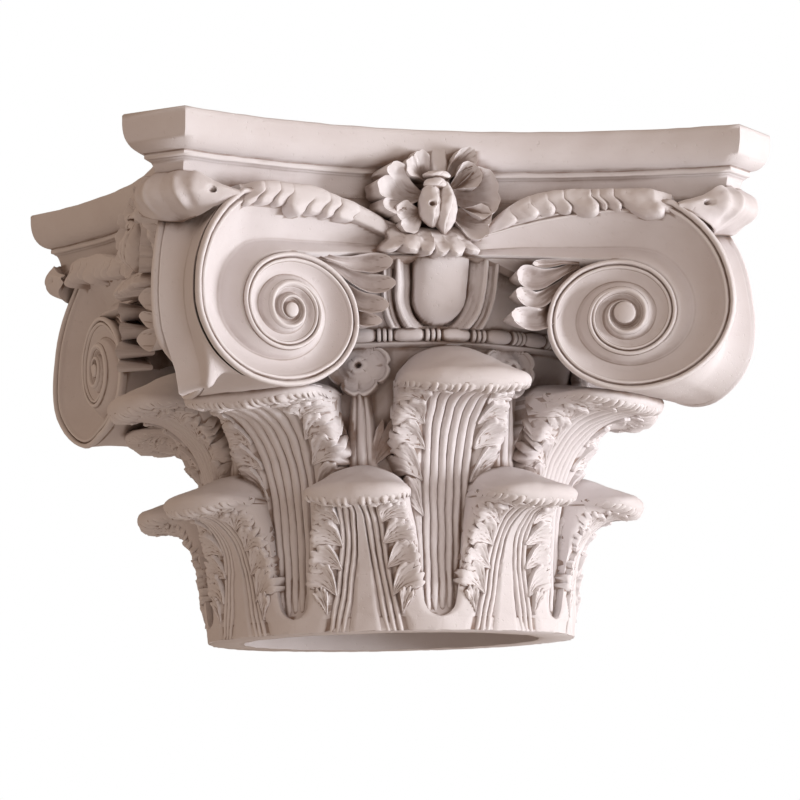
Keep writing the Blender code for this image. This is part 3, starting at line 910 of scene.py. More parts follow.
def volute_face(shape, place, eye_radius, hang=0.0):
    """The spiral face and the channel that leads to it. Its outermost turn may hang outside the spiral."""
    rim_steps = np.linspace(0, 1, 12)
    x = np.linspace(0, 1, 19)[1:]
    slope = np.sin(math.pi / 2 * np.clip(x / BOWL_WALL, 0, 1)) ** 0.9
    bowl = -slope * (1 - np.clip((x - BOWL_WALL) / (1 - BOWL_WALL), 0, 1) ** 0.75)

    def section(outer, inner, rim, rim_height, depth, forward, next_forward, turn=0.0):
        """Points from the rim's outer edge to the next rim's outer edge."""
        length = np.linalg.norm(inner - outer)
        inward = (inner - outer) / length
        distance = np.concatenate([rim_steps * rim, rim + x * (length - rim)])
        rims = rim_profile(rim_steps, turn) * rim_height
        out = np.concatenate([rims, bowl * depth * (length - rim)])
        out = out + forward + (next_forward - forward) * distance / length
        spots = outer[None, :] + inward[None, :] * distance[:, None]
        return place(spots[:, 0], spots[:, 1], out)

    rows = []
    low = np.array(spiral(SPIRAL_START + math.tau))
    for share in np.linspace(0, 1, 26, endpoint=False):
        along = CHANNEL_START + (EYE_ALONG - CHANNEL_START) * share
        upper = np.array([along, channel_top(share)])
        sink = (low[1] - CHANNEL_START_LOW) * smooth(share, 0.2, 1.0)
        lower = np.array([along, CHANNEL_START_LOW + sink])
        rim = RIM * min(1.0, (upper[1] - lower[1]) / 0.3)
        forward = proud(0.0) * share
        rows.append(section(upper, lower, rim, share, 0.30 + 0.12 * share, forward, forward))
    eye = np.array([EYE_ALONG, EYE_HEIGHT])
    # The spiral ends where it has closed once round the eye.
    last_turn = math.log(eye_radius / SPIRAL_REACH) / math.log(SPIRAL_SHRINK) * math.tau

    def eye_edge(turn):
        """The eye is round, and set towards the rim's end, which it meets."""
        angle = turn - last_turn
        edge = EYE_SHIFT * np.cos(angle) + np.sqrt(EYE_FILL**2 - (EYE_SHIFT * np.sin(angle)) ** 2)
        return eye_radius * edge

    for turn in np.linspace(SPIRAL_START, last_turn, int((last_turn - SPIRAL_START) / SPIRAL_STEP)):
        here = np.array(spiral(turn, -droop(turn, hang)))
        after = np.array(spiral(turn + math.tau))
        reach = SPIRAL_REACH * SPIRAL_SHRINK ** (turn / math.tau)
        if reach * SPIRAL_SHRINK < eye_radius:
            after = eye + eye_edge(turn) * np.array([math.cos(turn), -math.sin(turn)])
        length = max(np.linalg.norm(after - here), 0.004)
        rim = min(RIM * (reach / SPIRAL_REACH) ** 0.35, 0.5 * length)
        height = (reach / SPIRAL_REACH) ** 0.2 * min(1.0, rim / 0.02)
        depth = 0.42 + 0.18 * float(smooth(turn, 1.2 * math.tau, 1.7 * math.tau))
        rows.append(section(here, after, rim, height, depth, proud(turn), proud(turn + math.tau), turn))
    grid = np.array(rows)
    # Under its edge the piece is drawn in, so that it stays inside the corner's block.
    behind = place(EYE_ALONG, EYE_HEIGHT, FACE_BACK)
    under = grid + behind - place(EYE_ALONG, EYE_HEIGHT, 0.0)
    middle = place(EYE_ALONG, EYE_HEIGHT, FACE_MIDDLE_BACK)
    shape.patch(grid, under + 0.13 * (behind - under), middle)
    # The eye's smooth round face.
    turn = last_turn - np.linspace(0, math.tau, 28, endpoint=False)[None, :]
    shares, outs = np.array([EYE_SHARES, EYE_OUTS])[:, :, None]
    x_eye = eye[0] + eye_edge(turn) * shares * np.cos(turn)
    z_eye = eye[1] - eye_edge(turn) * shares * np.sin(turn)
    shape.loft(place(x_eye, z_eye, outs + proud(last_turn) + 0 * turn))


def volute_core_outline(foot=False, hang=0.0):
    """(along, height) round the block between a corner's two faces, starting near the flower."""
    spots = []
    for share in np.linspace(0.0, 1, 12, endpoint=False):
        spots.append((CHANNEL_START + (EYE_ALONG - CHANNEL_START) * share, channel_top(share) - 0.004))
    for turn in np.linspace(SPIRAL_START, 0.35, 36):
        spots.append(spiral(turn, 0.004 - droop(turn, hang)))
    if foot:
        spots += FOOT
    else:
        for turn in np.linspace(0.42, 1.0, 9):
            spots.append(spiral(turn, 0.004 - droop(turn, hang)))
    for turn in np.linspace(1.06, 1.5 * math.pi, 34):
        spots.append(spiral(turn, 0.012 - droop(turn, hang)))
    for share in np.linspace(1, 0, 9):
        spots.append((CHANNEL_START + (EYE_ALONG - 0.36) * share, CHANNEL_START_LOW - 0.01 * (1 + share)))
    return np.array(spots, float)


def under_face(outline):
    """Two outlines further in, under the spiral face: the first near the rim, the second half way."""
    along = outline[:, 0]
    outer = smooth(along, EYE_ALONG + 0.05, EYE_ALONG + 0.35)
    height = CHANNEL_MIDDLE + (EYE_HEIGHT - CHANNEL_MIDDLE) * smooth(along, 0.5, 0.9)
    inward = np.stack([np.minimum(along, EYE_ALONG), height], -1) - outline
    return outline + (0.08 + 0.14 * outer)[:, None] * inward, outline + 0.45 * inward


def volute_core(shape, front_place, flank_place, foot=False, hang=0.0):
    """The block between the two spiral faces of a corner, with a creased hollow down its outer band."""
    front_line, flank_line = volute_core_outline(), volute_core_outline(foot, hang)
    front = front_place(*front_line.T, CORE_OUT)
    flank = flank_place(*flank_line.T, CORE_OUT)
    eyes = [place(EYE_ALONG, EYE_HEIGHT, 0.0) for place in (front_place, flank_place)]
    inward = (eyes[0] + eyes[1]) / 2 - (front + flank) / 2
    inward /= np.linalg.norm(inward, axis=1)[:, None]
    shares = np.linspace(0, 1, 25)[:, None, None]
    valley = 1 - np.abs(2 * shares - 1) ** 1.25
    outer = smooth(front_line[:, 0], EYE_ALONG + 0.05, EYE_ALONG + 0.35)
    outer = outer * (0.30 + 0.70 * smooth(front_line[:, 1], 1.22, 1.50))
    bare, foot_drop = flank, 0.0
    if foot:
        # The foot is as deep over the outer half of the band, and dies away towards the front.
        bare = flank_place(*volute_core_outline().T, CORE_OUT)
        foot_drop = (flank - bare) * smooth(shares, 0.02, 0.36)
    grid = front + (bare - front) * shares + foot_drop + inward * BAND_HOLLOW * valley * outer[None, :, None]
    across = flank - front
    length = np.linalg.norm(across, axis=1)[:, None]
    across /= length
    step = across * np.minimum(0.24, 0.42 * length)
    rings = []
    for line, place, rim, sign, footed in (
        (front_line, front_place, front, 1, False),
        (flank_line, flank_place, flank, -1, foot),
    ):
        near, middle = under_face(line)
        deep = place(*near.T, CORE_OUT) + sign * step
        if footed:
            deep[FOOT_SPOTS] = rim[FOOT_SPOTS]
        rings.append((deep, place(*middle.T)))
    between = (rings[0][1] + rings[1][1]) / 2
    near_front = [(between - 0.01 * across)[None], rings[0][0][None]]
    near_flank = [rings[1][0][None], (between + 0.01 * across)[None]]
    shape.loft(np.concatenate([*near_front, grid, *near_flank]))


# Bell, bead ring and egg ring: profiles as (radius, height) in modules

BASE_RING = (
    (BORE, 0.0), (0.980, 0.0), (0.988, 0.006), (0.985, 0.03), (0.985, 0.065), (0.975, 0.083), (0.960, 0.100),
    (0.950, 0.12),
)
BELL_WALL = ((0.945, 0.2), (0.945, 0.5), (0.955, 0.9), (0.985, 1.2), (1.03, 1.4), (1.07, 1.48))
BELL_HEAD = ((1.075, 1.60), (1.09, 1.98), (1.09, ABACUS_BOTTOM + 0.05), (BORE, ABACUS_BOTTOM + 0.05))


def make_bell(sizes, material):
    """The round body behind the leaves, with the bore through it."""
    profile = np.vstack([BASE_RING, curve_through(BELL_WALL, 30), BELL_HEAD])
    turn = np.linspace(0, math.tau, 144, endpoint=False)
    grid = round_axis(profile[:, 0][:, None], turn[None, :], profile[:, 1][:, None])
    shape = Shape()
    shape.sheet(grid, ring_rows=True, ring_columns=True)
    obj = shape.build("bell", roughness=0.0012 * sizes.unevenness)
    obj.data.materials.append(material)
    return obj


BEAD_RING = (1.105, 1.524)  # the line that the beads are strung on
BEAD_FIRST_TURN = 0.075
BEAD_HALF_LENGTH = 0.315  # as a share of the step from bead to bead
DISCS = (0.385, 0.5, 0.615)  # middles of the discs, as shares of the step
DISC_HALF_LENGTH = 0.044
DISC_EDGE = ((-1, 0.42), (-0.8, 0.90), (0, 1.0), (0.8, 0.90), (1, 0.42))  # along it, and share of the radius
BEAD_FILLET = (
    (1.03, 1.455), (1.095, 1.470), (1.106, 1.480), (1.10, 1.492), (1.083, 1.498), (1.08, 1.524),
    (1.083, 1.550), (1.098, 1.556), (1.10, 1.568), (1.085, 1.576), (1.0, 1.576),
)


def make_bead_ring(sizes, material):
    """Barrel beads parted by sets of thin discs, over a plain round fillet."""
    ring, height = BEAD_RING
    thick = sizes.bead_radius / MODULE
    step = math.tau * ring / sizes.bead_count
    turn = np.linspace(0, math.tau, 16, endpoint=False)[None, :]
    shape = Shape()

    def turned_bead(along, radius):
        """A closed bead turned about the ring's line. along and radius run from end to end."""
        along, radius = np.asarray(along)[:, None], np.asarray(radius)[:, None]
        out = ring + radius * np.cos(turn)
        shape.loft(round_axis(out, along / ring, height + radius * np.sin(turn)))

    ends = np.linspace(-1, 1, 13)
    barrel = thick * (0.32 + 0.68 * (1 - np.abs(0.98 * ends) ** 3) ** 0.5)
    turned_bead(ends * BEAD_HALF_LENGTH * step, barrel)
    spots, radius = np.array(DISC_EDGE).T
    for middle in DISCS:
        turned_bead((middle + DISC_HALF_LENGTH * spots) * step, radius * thick)
    bead = shape.build("bead")
    bead.data.materials.append(material)
    beads = repeated("beads", bead, BEAD_FIRST_TURN, material, sizes.bead_count)
    rows = np.array(BEAD_FILLET)
    around = np.linspace(0, math.tau, 160, endpoint=False)
    fillet = Shape()
    fillet.loft(round_axis(rows[:, 0][:, None], around[None, :], rows[:, 1][:, None]))
    ring_object = fillet.build("bead_fillet", roughness=0.001 * sizes.unevenness)
    ring_object.data.materials.append(material)
    return joined("bead_ring", [beads, ring_object])


EGG_RING_RADIUS = 1.197
EGG_RING_LOW, EGG_RING_TOP = 1.555, 1.985
EGG_HALF_WIDTH = 0.140
EGG_MIDDLE = 1.715  # height where the egg is widest; above it the egg runs straight up
EGG_DROP = 0.145  # from there to its foot
EGG_EDGE, EGG_STAND = 0.045, 0.062
RELIEF_END = (1.905, 1.95)  # the relief dies away between these heights
# The shell and the darts round the egg: distance from its middle as a share of its size, and relief.
EGG_BANDS = (
    (1.0, 0.040), (1.03, -0.025), (1.08, -0.025), (1.12, 0.020), (1.30, 0.038), (1.46, 0.066), (1.51, 0.086),
    (1.60, 0.093), (1.68, 0.086), (1.72, 0.020), (1.76, 0.020), (1.80, 0.046), (1.95, 0.054), (2.00, 0.072),
    (2.08, 0.080), (2.16, 0.070), (2.20, 0.025), (2.60, 0.020),
)


def egg_relief(s, z):
    """How far the egg, its shell and the darts stand out of the ring."""
    rho = np.hypot(s / EGG_HALF_WIDTH, np.maximum(0, EGG_MIDDLE - z) / EGG_DROP)
    egg = EGG_EDGE + EGG_STAND * np.clip(1 - rho**3.0, 0, 1) ** 0.5
    spots, outs = np.array(EGG_BANDS).T
    return np.where(rho < 1, egg, np.interp(rho, spots, outs))


def make_egg_ring(sizes, material):
    """The ring of eggs in their shells, with darts between, and the palmettes over its ends."""
    fine, whole = 0.36, 0.94  # half widths of the carved middle and of the quarter ring
    outer = np.linspace(fine, whole, 13)[1:]
    s = np.concatenate([-outer[::-1], np.linspace(-fine, fine, 177), outer])
    z = np.linspace(EGG_RING_LOW, EGG_RING_TOP, 46)
    grid_s, grid_z = np.meshgrid(s, z)
    share = (grid_z - z[0]) / (z[-1] - z[0])
    relief = egg_relief(grid_s - EGG_ALONG, grid_z) * (1 - smooth(grid_z, *RELIEF_END))
    radius = 1.075 + 0.13 * np.sin(math.pi / 2 * share) + relief
    front = round_axis(radius, grid_s / EGG_RING_RADIUS, grid_z)
    back = round_axis(0 * radius + 1.0, grid_s / EGG_RING_RADIUS, grid_z)
    shape = Shape()
    shape.patch(front, back)
    for side in (-1, 1):
        palmette(shape, side)
    obj = shape.build("egg", roughness=0.0012 * sizes.unevenness)
    return repeated("egg_ring", obj, 0.0, material)


def spoon(shape, path, width, side, place, rise=0.02, scoop=1.5, steps=30):
    """A scooped leaflet along a path of (along, height, out): a thin stem, then a round hollow end."""
    line = curve_through(path, steps)
    slope = np.gradient(line[:, :2], axis=0)
    slope /= np.linalg.norm(slope, axis=1)[:, None]
    cross = np.stack([-slope[:, 1], slope[:, 0]], -1)
    share = np.linspace(0, 1, steps)
    stem_width = 0.34  # as a share of the end's
    round_end = np.sqrt(np.clip(1 - (np.maximum(share - 0.76, 0) / 0.243) ** 2, 0.0004, 1))
    wide = width * (stem_width + (1 - stem_width) * smooth(share, 0.15, 0.78)) * round_end
    c = np.linspace(-1, 1, 17)
    along = line[:, None, 0] + cross[:, None, 0] * wide[:, None] * c
    height = line[:, None, 1] + cross[:, None, 1] * wide[:, None] * c
    ends = np.maximum(np.abs(c) ** 3.2, 0.95 * smooth(share, 0.84, 1.0)[:, None])
    deep = scoop * wide[:, None] * (ends - 1)
    end = rise * smooth(share, 0.7, 1.0)[:, None]
    out = line[:, None, 2] + deep + end - 0.35 * wide[:, None] * smooth(np.abs(c), 0.86, 1.0)
    # Behind its face the leaflet narrows towards its middle line.
    narrow = 0.5 * (line[:, None, :2] - np.stack([along, height], -1))
    root = place(side * (along + narrow[:, :, 0]), height + narrow[:, :, 1], -0.10 + 0 * out)
    shape.patch(place(side * along, height, out), root)


# For each side of the egg, each leaflet's path as (along, height, out), and its half width.
PALMETTES = {
    1: (
        (((0.70, 1.872, 0.00), (0.62, 1.874, 0.03), (0.54, 1.868, 0.04), (0.45, 1.862, 0.04)), 0.022),
        (((0.70, 1.868, 0.00), (0.56, 1.810, 0.04), (0.47, 1.785, 0.08), (0.352, 1.808, 0.11)), 0.062),
        (((0.69, 1.855, 0.00), (0.57, 1.735, 0.03), (0.46, 1.672, 0.08), (0.348, 1.716, 0.11)), 0.046),
        (((0.68, 1.840, -0.01), (0.575, 1.660, 0.03), (0.49, 1.575, 0.08), (0.315, 1.590, 0.12)), 0.060),
    ),
    -1: (
        (((0.71, 1.885, 0.00), (0.56, 1.850, 0.04), (0.46, 1.846, 0.08), (0.335, 1.852, 0.10)), 0.050),
        (((0.70, 1.865, 0.00), (0.53, 1.785, 0.03), (0.44, 1.742, 0.08), (0.322, 1.742, 0.10)), 0.050),
        (((0.70, 1.850, -0.01), (0.575, 1.724, 0.03), (0.49, 1.650, 0.07), (0.365, 1.622, 0.11)), 0.050),
        (((0.68, 1.830, -0.02), (0.565, 1.640, 0.02), (0.50, 1.570, 0.06), (0.400, 1.540, 0.09)), 0.042),
    ),
}


def palmette(shape, side):
    """Half a palmette that springs from the volute and spreads over the ring towards the egg."""

    def place(along, height, out):
        return on_face(along + 0.5 * EGG_ALONG, height, out)

    for path, width in PALMETTES[side]:
        spoon(shape, path, width, side, place)


def make_volutes(sizes, material):
    """All the volutes: a right and a left corner, which differ a little, each twice."""
    shape = Shape()
    round_eye, curled_eye = sizes.round_eye / MODULE, sizes.curled_eye / MODULE
    for left in (False, True):
        front, flank = (to_left(on_face), on_left_flank) if left else (on_face, on_flank)
        hang = 0.0 if left else RIGHT_HANG
        volute_core(shape, front, flank, left, hang)
        volute_face(shape, front, curled_eye if left else round_eye)
        volute_face(shape, flank, round_eye if left else curled_eye, hang)
    obj = shape.build("volute", roughness=0.0008 * sizes.unevenness, sharp=120)
    return repeated("volutes", obj, 0.0, material)


# Mouldings of the abacus, as (inset, depth) below its top edge, from its foot up.
ABACUS_FOOT = ((0.145, 0.357), (0.142, 0.350))
CAVETTO_TOP, CAVETTO_SIZE = (0.108, 0.235), (0.032, 0.115)
FILLETS = ((0.104, 0.228), (0.094, 0.226), (0.090, 0.222), (0.090, 0.205), (0.093, 0.200))
OVOLO_TOP, OVOLO_SIZE = (0.0, 0.055), (0.090, 0.14)
ABACUS_EDGE = ((0.0, 0.05), (0.0, 0.03), (0.0, 0.008), (0.008, 0.0))
BORE_BEVEL = 0.01


def abacus_ring(inset, height):
    """The plan of the abacus this far inside its top edge, from corner to corner, as a ring of points."""
    cut = HORN_NEAR + HORN_FAR - inset * math.sqrt(2)
    radius = SIDE_ARC + inset
    shift = SIDE_CENTRE - cut
    end = (-shift + math.sqrt(2 * radius**2 - shift**2)) / 2
    sweep = math.asin(end / radius)
    angle = np.linspace(-sweep, sweep, 49)
    side = np.stack([radius * np.sin(angle), radius * np.cos(angle) - SIDE_CENTRE, 0 * angle + height], -1)
    return np.concatenate([turned(side, math.pi / 2 * k) for k in range(4)])


def make_abacus(sizes, material):
    """The moulded slab on top, with hollow sides and cut-off horns."""
    turn = np.linspace(math.pi / 2, 0, 9)[:, None]
    cavetto = CAVETTO_TOP + CAVETTO_SIZE * np.hstack([np.sin(turn), 1 - np.cos(turn)])
    turn = np.linspace(math.pi / 2, 0, 11)[:, None]
    ovolo = OVOLO_TOP + OVOLO_SIZE * np.hstack([1 - np.cos(turn), np.sin(turn)])
    profile = np.vstack([ABACUS_FOOT, cavetto, FILLETS, ovolo, ABACUS_EDGE])
    rings = [abacus_ring(inset, HEIGHT - depth) for inset, depth in profile]
    angle = np.arctan2(rings[-1][:, 0], -rings[-1][:, 1])
    rings.append(0.5 * (rings[-1] + round_axis(BORE, angle, HEIGHT)))
    rings.append(round_axis(BORE + BORE_BEVEL, angle, HEIGHT))
    rings.append(round_axis(BORE, angle, HEIGHT - BORE_BEVEL))
    rings.append(round_axis(BORE, angle, ABACUS_BOTTOM))
    shape = Shape()
    shape.sheet(np.array(rings), ring_rows=True, ring_columns=True)
    obj = shape.build("abacus", roughness=0.0014 * sizes.unevenness)
    obj.data.materials.append(material)
    return obj


# Each petal: its root, lean, length, spread, fingers, out, lift, cup, relief, curl and notch.
FLOWER_PETALS = (
    ((-0.125, 2.205), -82, 0.310, 38, 3, 0.060, 0.080, 0.065, 0.012, 0, 0.16),
    ((-0.130, 2.140), -114, 0.200, 38, 2, 0.070, 0.055, 0.035, 0.010, 0, 0.14),
    ((-0.040, 2.210), 86, 0.300, 38, 2, 0.055, 0.085, 0.090, 0.004, 0, 0.06),
    ((-0.015, 2.245), 56, 0.185, 32, 1, 0.080, 0.075, 0.060, 0.003, 0, 0.10),
    ((-0.040, 2.145), 112, 0.265, 30, 2, 0.055, 0.080, 0.070, 0.005, 0, 0.08),
    ((-0.095, 2.275), -44, 0.200, 34, 2, 0.070, 0.060, 0.045, 0.008, 0, 0.12),
    ((-0.045, 2.270), 36, 0.245, 20, 1, 0.075, 0.070, 0.050, 0.003, 6, 0.10),
)
FLOWER_SHIFT = (0.012, -0.025)  # along the face and out from it


def flower_bud(shape, place, centre, half, out=0.105, lean=0.0, hole=None):
    """A hanging pear-shaped bud with a fold down its front, pointed at its foot.

    centre and hole are (along, height), and half holds its half width, half height and half depth.
    """
    turn = np.linspace(0, math.tau, 56, endpoint=False)[None, :]
    t = np.linspace(-1, 1, 37)[:, None]
    body = np.clip(1 - t**2, 0.0002, 1) ** 0.55 * (1 - 0.18 * t)
    body = body * (1 - 0.25 * smooth(-t, 0.55, 1.0))
    edge = np.mod(2 * (turn / math.tau - 0.04 - 0.04 * np.sin(2.2 * t + 0.4)), 1.0)
    fold = 1 + 0.16 * smooth(edge, 0.0, 0.9) * (1 - smooth(edge, 0.93, 1.0))
    along = centre[0] + half[0] * body * fold * np.sin(turn) + lean * t
    height = centre[1] + half[1] * t + 0 * turn
    stand = out + half[2] * body * fold * np.cos(turn)
    if hole:
        away = np.hypot(along - hole[0], height - hole[1])
        stand = stand - 0.05 * np.exp(-((away / 0.013) ** 2)) * (np.cos(turn) > 0)
    shape.loft(place(along, height, stand))


def flower_post(shape, place):
    """The soft swelling behind the flower, up to the abacus's top edge."""
    rise = np.linspace(0, 1, 17)[:, None]
    side = np.linspace(-1, 1, 33)[None, :]
    along = -0.055 + (0.110 + 0.030 * rise**3) * side
    height = 2.27 + 0.275 * rise + 0 * side
    stand = 0.066 - 0.022 * rise + 0.004 * np.sin(math.pi * side)
    stand = stand - 0.11 * smooth(np.abs(side), 0.25, 1.0)
    shape.patch(place(along, height, stand), place(along, height, -0.12 + 0 * stand))


def flower_collar(shape, place):
    """The scalloped frill under the flower that hangs over the egg's top."""
    u = np.linspace(-1, 1, 85)[None, :]
    v = np.linspace(0, 1, 20)[:, None]
    scallops = ridges((u + 1) / 2 + 0.02 * np.sin(5 * u), 6, 0.5)
    along = -0.130 + 0.262 * u * (0.66 + 0.34 * np.sqrt(v)) + 0.012 * np.sin(9 * v) * u
    height = 2.040 - (0.120 + 0.034 * scallops + 0.012 * np.sin(4 * u + 1)) * v
    stand = 0.060 + 0.145 * np.sin(math.pi / 2 * v) * np.sqrt(1 - 0.80 * u**2)
    stand = stand + 0.024 * (scallops - 0.6) * smooth(v, 0.45, 0.9) - 0.03 * smooth(v, 0.88, 1.0)
    stand = stand + 0.008 * np.sin(13 * u + 3 * v) * smooth(v, 0.1, 0.5)
    shape.patch(place(along, height, stand), place(along, height + 0.02, 0.02 + 0 * stand))


def make_flowers(sizes, material):
    """The flower on the middle of each side, with a scalloped collar that hangs over the egg."""
    shape = Shape()

    def place(along, height, out):
        return on_face(along + FLOWER_SHIFT[0], height, out + FLOWER_SHIFT[1])

    for petal in FLOWER_PETALS:
        hand(shape, place, *petal, under=-0.06, steps=36)
    flower_post(shape, place)
    # The bud's two halves, and the knot of small rings over it.
    flower_bud(shape, place, (-0.122, 2.155), (0.064, 0.120, 0.078), hole=(-0.135, 2.150))
    flower_bud(shape, place, (-0.046, 2.145), (0.058, 0.140, 0.074), lean=0.010)
    flower_bud(shape, place, (-0.095, 2.268), (0.062, 0.034, 0.052))
    flower_bud(shape, place, (-0.085, 2.315), (0.076, 0.025, 0.055), out=0.100)
    flower_collar(shape, place)
    obj = shape.build("flower", roughness=0.0045 * sizes.unevenness)
    return repeated("flowers", obj, 0.0, material)


# Husks over the channels, at each side of the flower.
# Their edges as (along, upper height, lower height).
HUSK_EDGES = {
    -1: (
        (0.25, 1.990, 1.960), (0.31, 2.040, 1.980), (0.36, 2.090, 2.005), (0.44, 2.125, 2.040),
        (0.51, 2.152, 2.056), (0.64, 2.190, 2.074), (0.77, 2.223, 2.085), (0.90, 2.230, 2.105),
        (1.04, 2.230, 2.110), (1.18, 2.205, 2.095),
    ),
    1: (
        (0.14, 1.990, 1.960), (0.22, 2.080, 2.020), (0.29, 2.140, 2.052), (0.385, 2.200, 2.090),
        (0.50, 2.236, 2.118), (0.63, 2.250, 2.130), (0.83, 2.250, 2.140), (1.03, 2.245, 2.115),
        (1.18, 2.215, 2.095),
    ),
}
# The lobes along the lower edge, each as (where it ends, how far it hangs).
HUSK_LOBES = {
    -1: (
        (0.50, 0.004), (0.60, 0.018), (0.68, 0.020), (0.76, 0.014), (0.885, 0.040), (0.975, 0.016),
        (1.06, 0.018), (1.16, 0.024), (1.20, 0.0),
    ),
    1: (
        (0.335, 0.006), (0.43, 0.012), (0.53, 0.014), (0.61, 0.020), (0.755, 0.044), (0.81, 0.016),
        (0.875, 0.022), (1.10, 0.042), (1.20, 0.0),
    ),
}
HUSK_LONGEST = 0.044  # how far the longest lobe hangs
# Lines across the corner's leaf tip, from its underside round to its top, each from the corner's middle
# to its tail as (outwards along the corner's middle line, sideways from it, height).
CURL_LINES = (
    ((1.99, 0, 2.03), (2.04, 0.09, 2.035), (2.05, 0.17, 2.055), (2.02, 0.24, 2.09), (1.94, 0.30, 2.125)),
    ((2.18, 0, 2.12), (2.19, 0.07, 2.122), (2.17, 0.15, 2.13), (2.10, 0.225, 2.14), (1.95, 0.31, 2.142)),
    ((2.195, 0, 2.20), (2.20, 0.075, 2.20), (2.17, 0.155, 2.20), (2.095, 0.23, 2.185), (1.95, 0.31, 2.155)),
    ((2.12, 0, 2.265), (2.13, 0.08, 2.268), (2.11, 0.16, 2.255), (2.04, 0.23, 2.205), (1.93, 0.30, 2.165)),
)
CURL_MIDDLE = np.array([1.98, 0.12, 2.15])


def channel_leaf(shape, side):
    """The long husk over a volute's channel: a roll under the abacus with a ragged, curling edge."""

    def place(along, height, out):
        return on_face(side * along, height, out)

    edges = curve_through(HUSK_EDGES[side], 90)
    ends, drops = np.array(HUSK_LOBES[side]).T
    v = np.linspace(0, 1, 20)[None, :]
    along = np.linspace(edges[0, 0], edges[-1, 0], 170)[:, None]
    top = np.interp(along, edges[:, 0], edges[:, 1])
    low = np.interp(along, edges[:, 0], edges[:, 2])
    flat_along = along.ravel() + 0.006 * np.sin(40 * along.ravel())
    which = np.searchsorted(ends, flat_along).clip(0, len(ends) - 1)
    start = np.concatenate([[0.0], ends])[which]
    start = np.maximum(start, edges[0, 0])
    share = np.clip((flat_along - start) / (ends[which] - start), 0, 1)[:, None]
    lobe = np.sin(math.pi * np.clip(share, 0.001, 0.999) ** 1.5) ** 0.5
    size = drops[which][:, None] / HUSK_LONGEST
    low = low + 0.012 - drops[which][:, None] * lobe
    roll = np.sin(math.pi * (0.08 + 0.92 * v) ** 0.85) ** 0.7
    growth = smooth((top - low) / 0.13, 0.0, 1.0)
    stand = -0.020 + (0.066 + 0.038 * roll) * growth
    below = smooth(v, 0.35, 0.85)
    curl = lobe * (0.25 + 0.75 * share**2) * (0.35 + 0.65 * size)
    stand = stand + 0.060 * curl * below * growth
    stand = stand - 0.018 * smooth(v, 0.92, 1.0) - 0.05 * smooth(along, 1.08, 1.18)
    along = along + 0.045 * below * growth
    height = top + (low - top) * v
    shape.patch(place(along, height, stand), place(along, height, -0.12 + 0 * stand))


def back_wall(shape):
    """The smooth wall behind the husks, under the abacus."""
    along = np.linspace(-0.80, 0.80, 41)[None, :]
    height = np.linspace(1.93, 2.215, 10)[:, None]
    out = -0.112 - 0.050 * smooth(2.21 - height, 0, 0.25)
    shape.patch(on_face(along, height, out), on_face(along, height, -0.24))


def corner_curl(shape, side):
    """Half of the leaf tip that curls out under the abacus's corner, from the corner to its tail."""
    steps, ring = 52, 28
    lines = [curve_through(stops, steps) for stops in CURL_LINES]
    grid = np.array([curve_through([line[k] for line in lines], ring) for k in range(steps)])
    u = np.linspace(0, 1, steps)[:, None]
    v = np.linspace(0, 1, ring)[None, :]
    outward = grid - (CURL_MIDDLE + (grid - CURL_MIDDLE) * [0.45, 0.9, 0.1])
    outward /= np.maximum(np.linalg.norm(outward, axis=-1), 1e-6)[..., None]
    ridge = 0.012 * np.exp(-(((u - 0.30 + 0.14 * v) / 0.035) ** 2))
    ridge = ridge * smooth(v, 0.1, 0.4) * smooth(1 - v, 0.05, 0.3)
    crease = -0.012 * np.exp(-(((u - 0.38 + 0.10 * v) / 0.06) ** 2)) * smooth(v, 0.05, 0.35)
    round_hole = np.hypot((u - 0.62) / 0.060, (v - 0.62) / 0.110)
    hole = -0.080 * (1 - smooth(round_hole, 0.7, 1.15))
    hollow = -0.020 * np.exp(-(((u - 0.62) / 0.13) ** 2) - ((v - 0.58) / 0.26) ** 2)
    grid = grid + outward * (ridge + crease + hole + hollow)[..., None]
    inner = grid - outward * 0.14 * (1 - 0.6 * u[..., None])

    def at_corner(spots):
        out, sideways, height = np.moveaxis(spots, -1, 0)
        if side > 0:
            sideways = -sideways
        return np.stack([(out + sideways) / math.sqrt(2), (sideways - out) / math.sqrt(2), height], -1)

    shape.patch(at_corner(grid), at_corner(inner))


def make_channel_leaves(sizes, material):
    """The husks over the channels, with the leaf tips that curl out at the corners."""
    shape = Shape()
    for side in (-1, 1):
        channel_leaf(shape, side)
        corner_curl(shape, side)
    back_wall(shape)
    obj = shape.build("channel_leaf", roughness=0.002 * sizes.unevenness)
    return repeated("channel_leaves", obj, 0.0, material)


ROSETTE_HEIGHT = 1.372
STEM_FOOT, STEM_TOP = 0.70, 1.25
STEM_WIDTHS = ((0.7, 0.95, 1.25), (0.085, 0.085, 0.05))  # heights, and half widths at them
STEM_STANDS = ((0.7, 0.9, 1.2, 1.25), (-0.045, -0.045, -0.015, 0.0))  # heights, and how far out


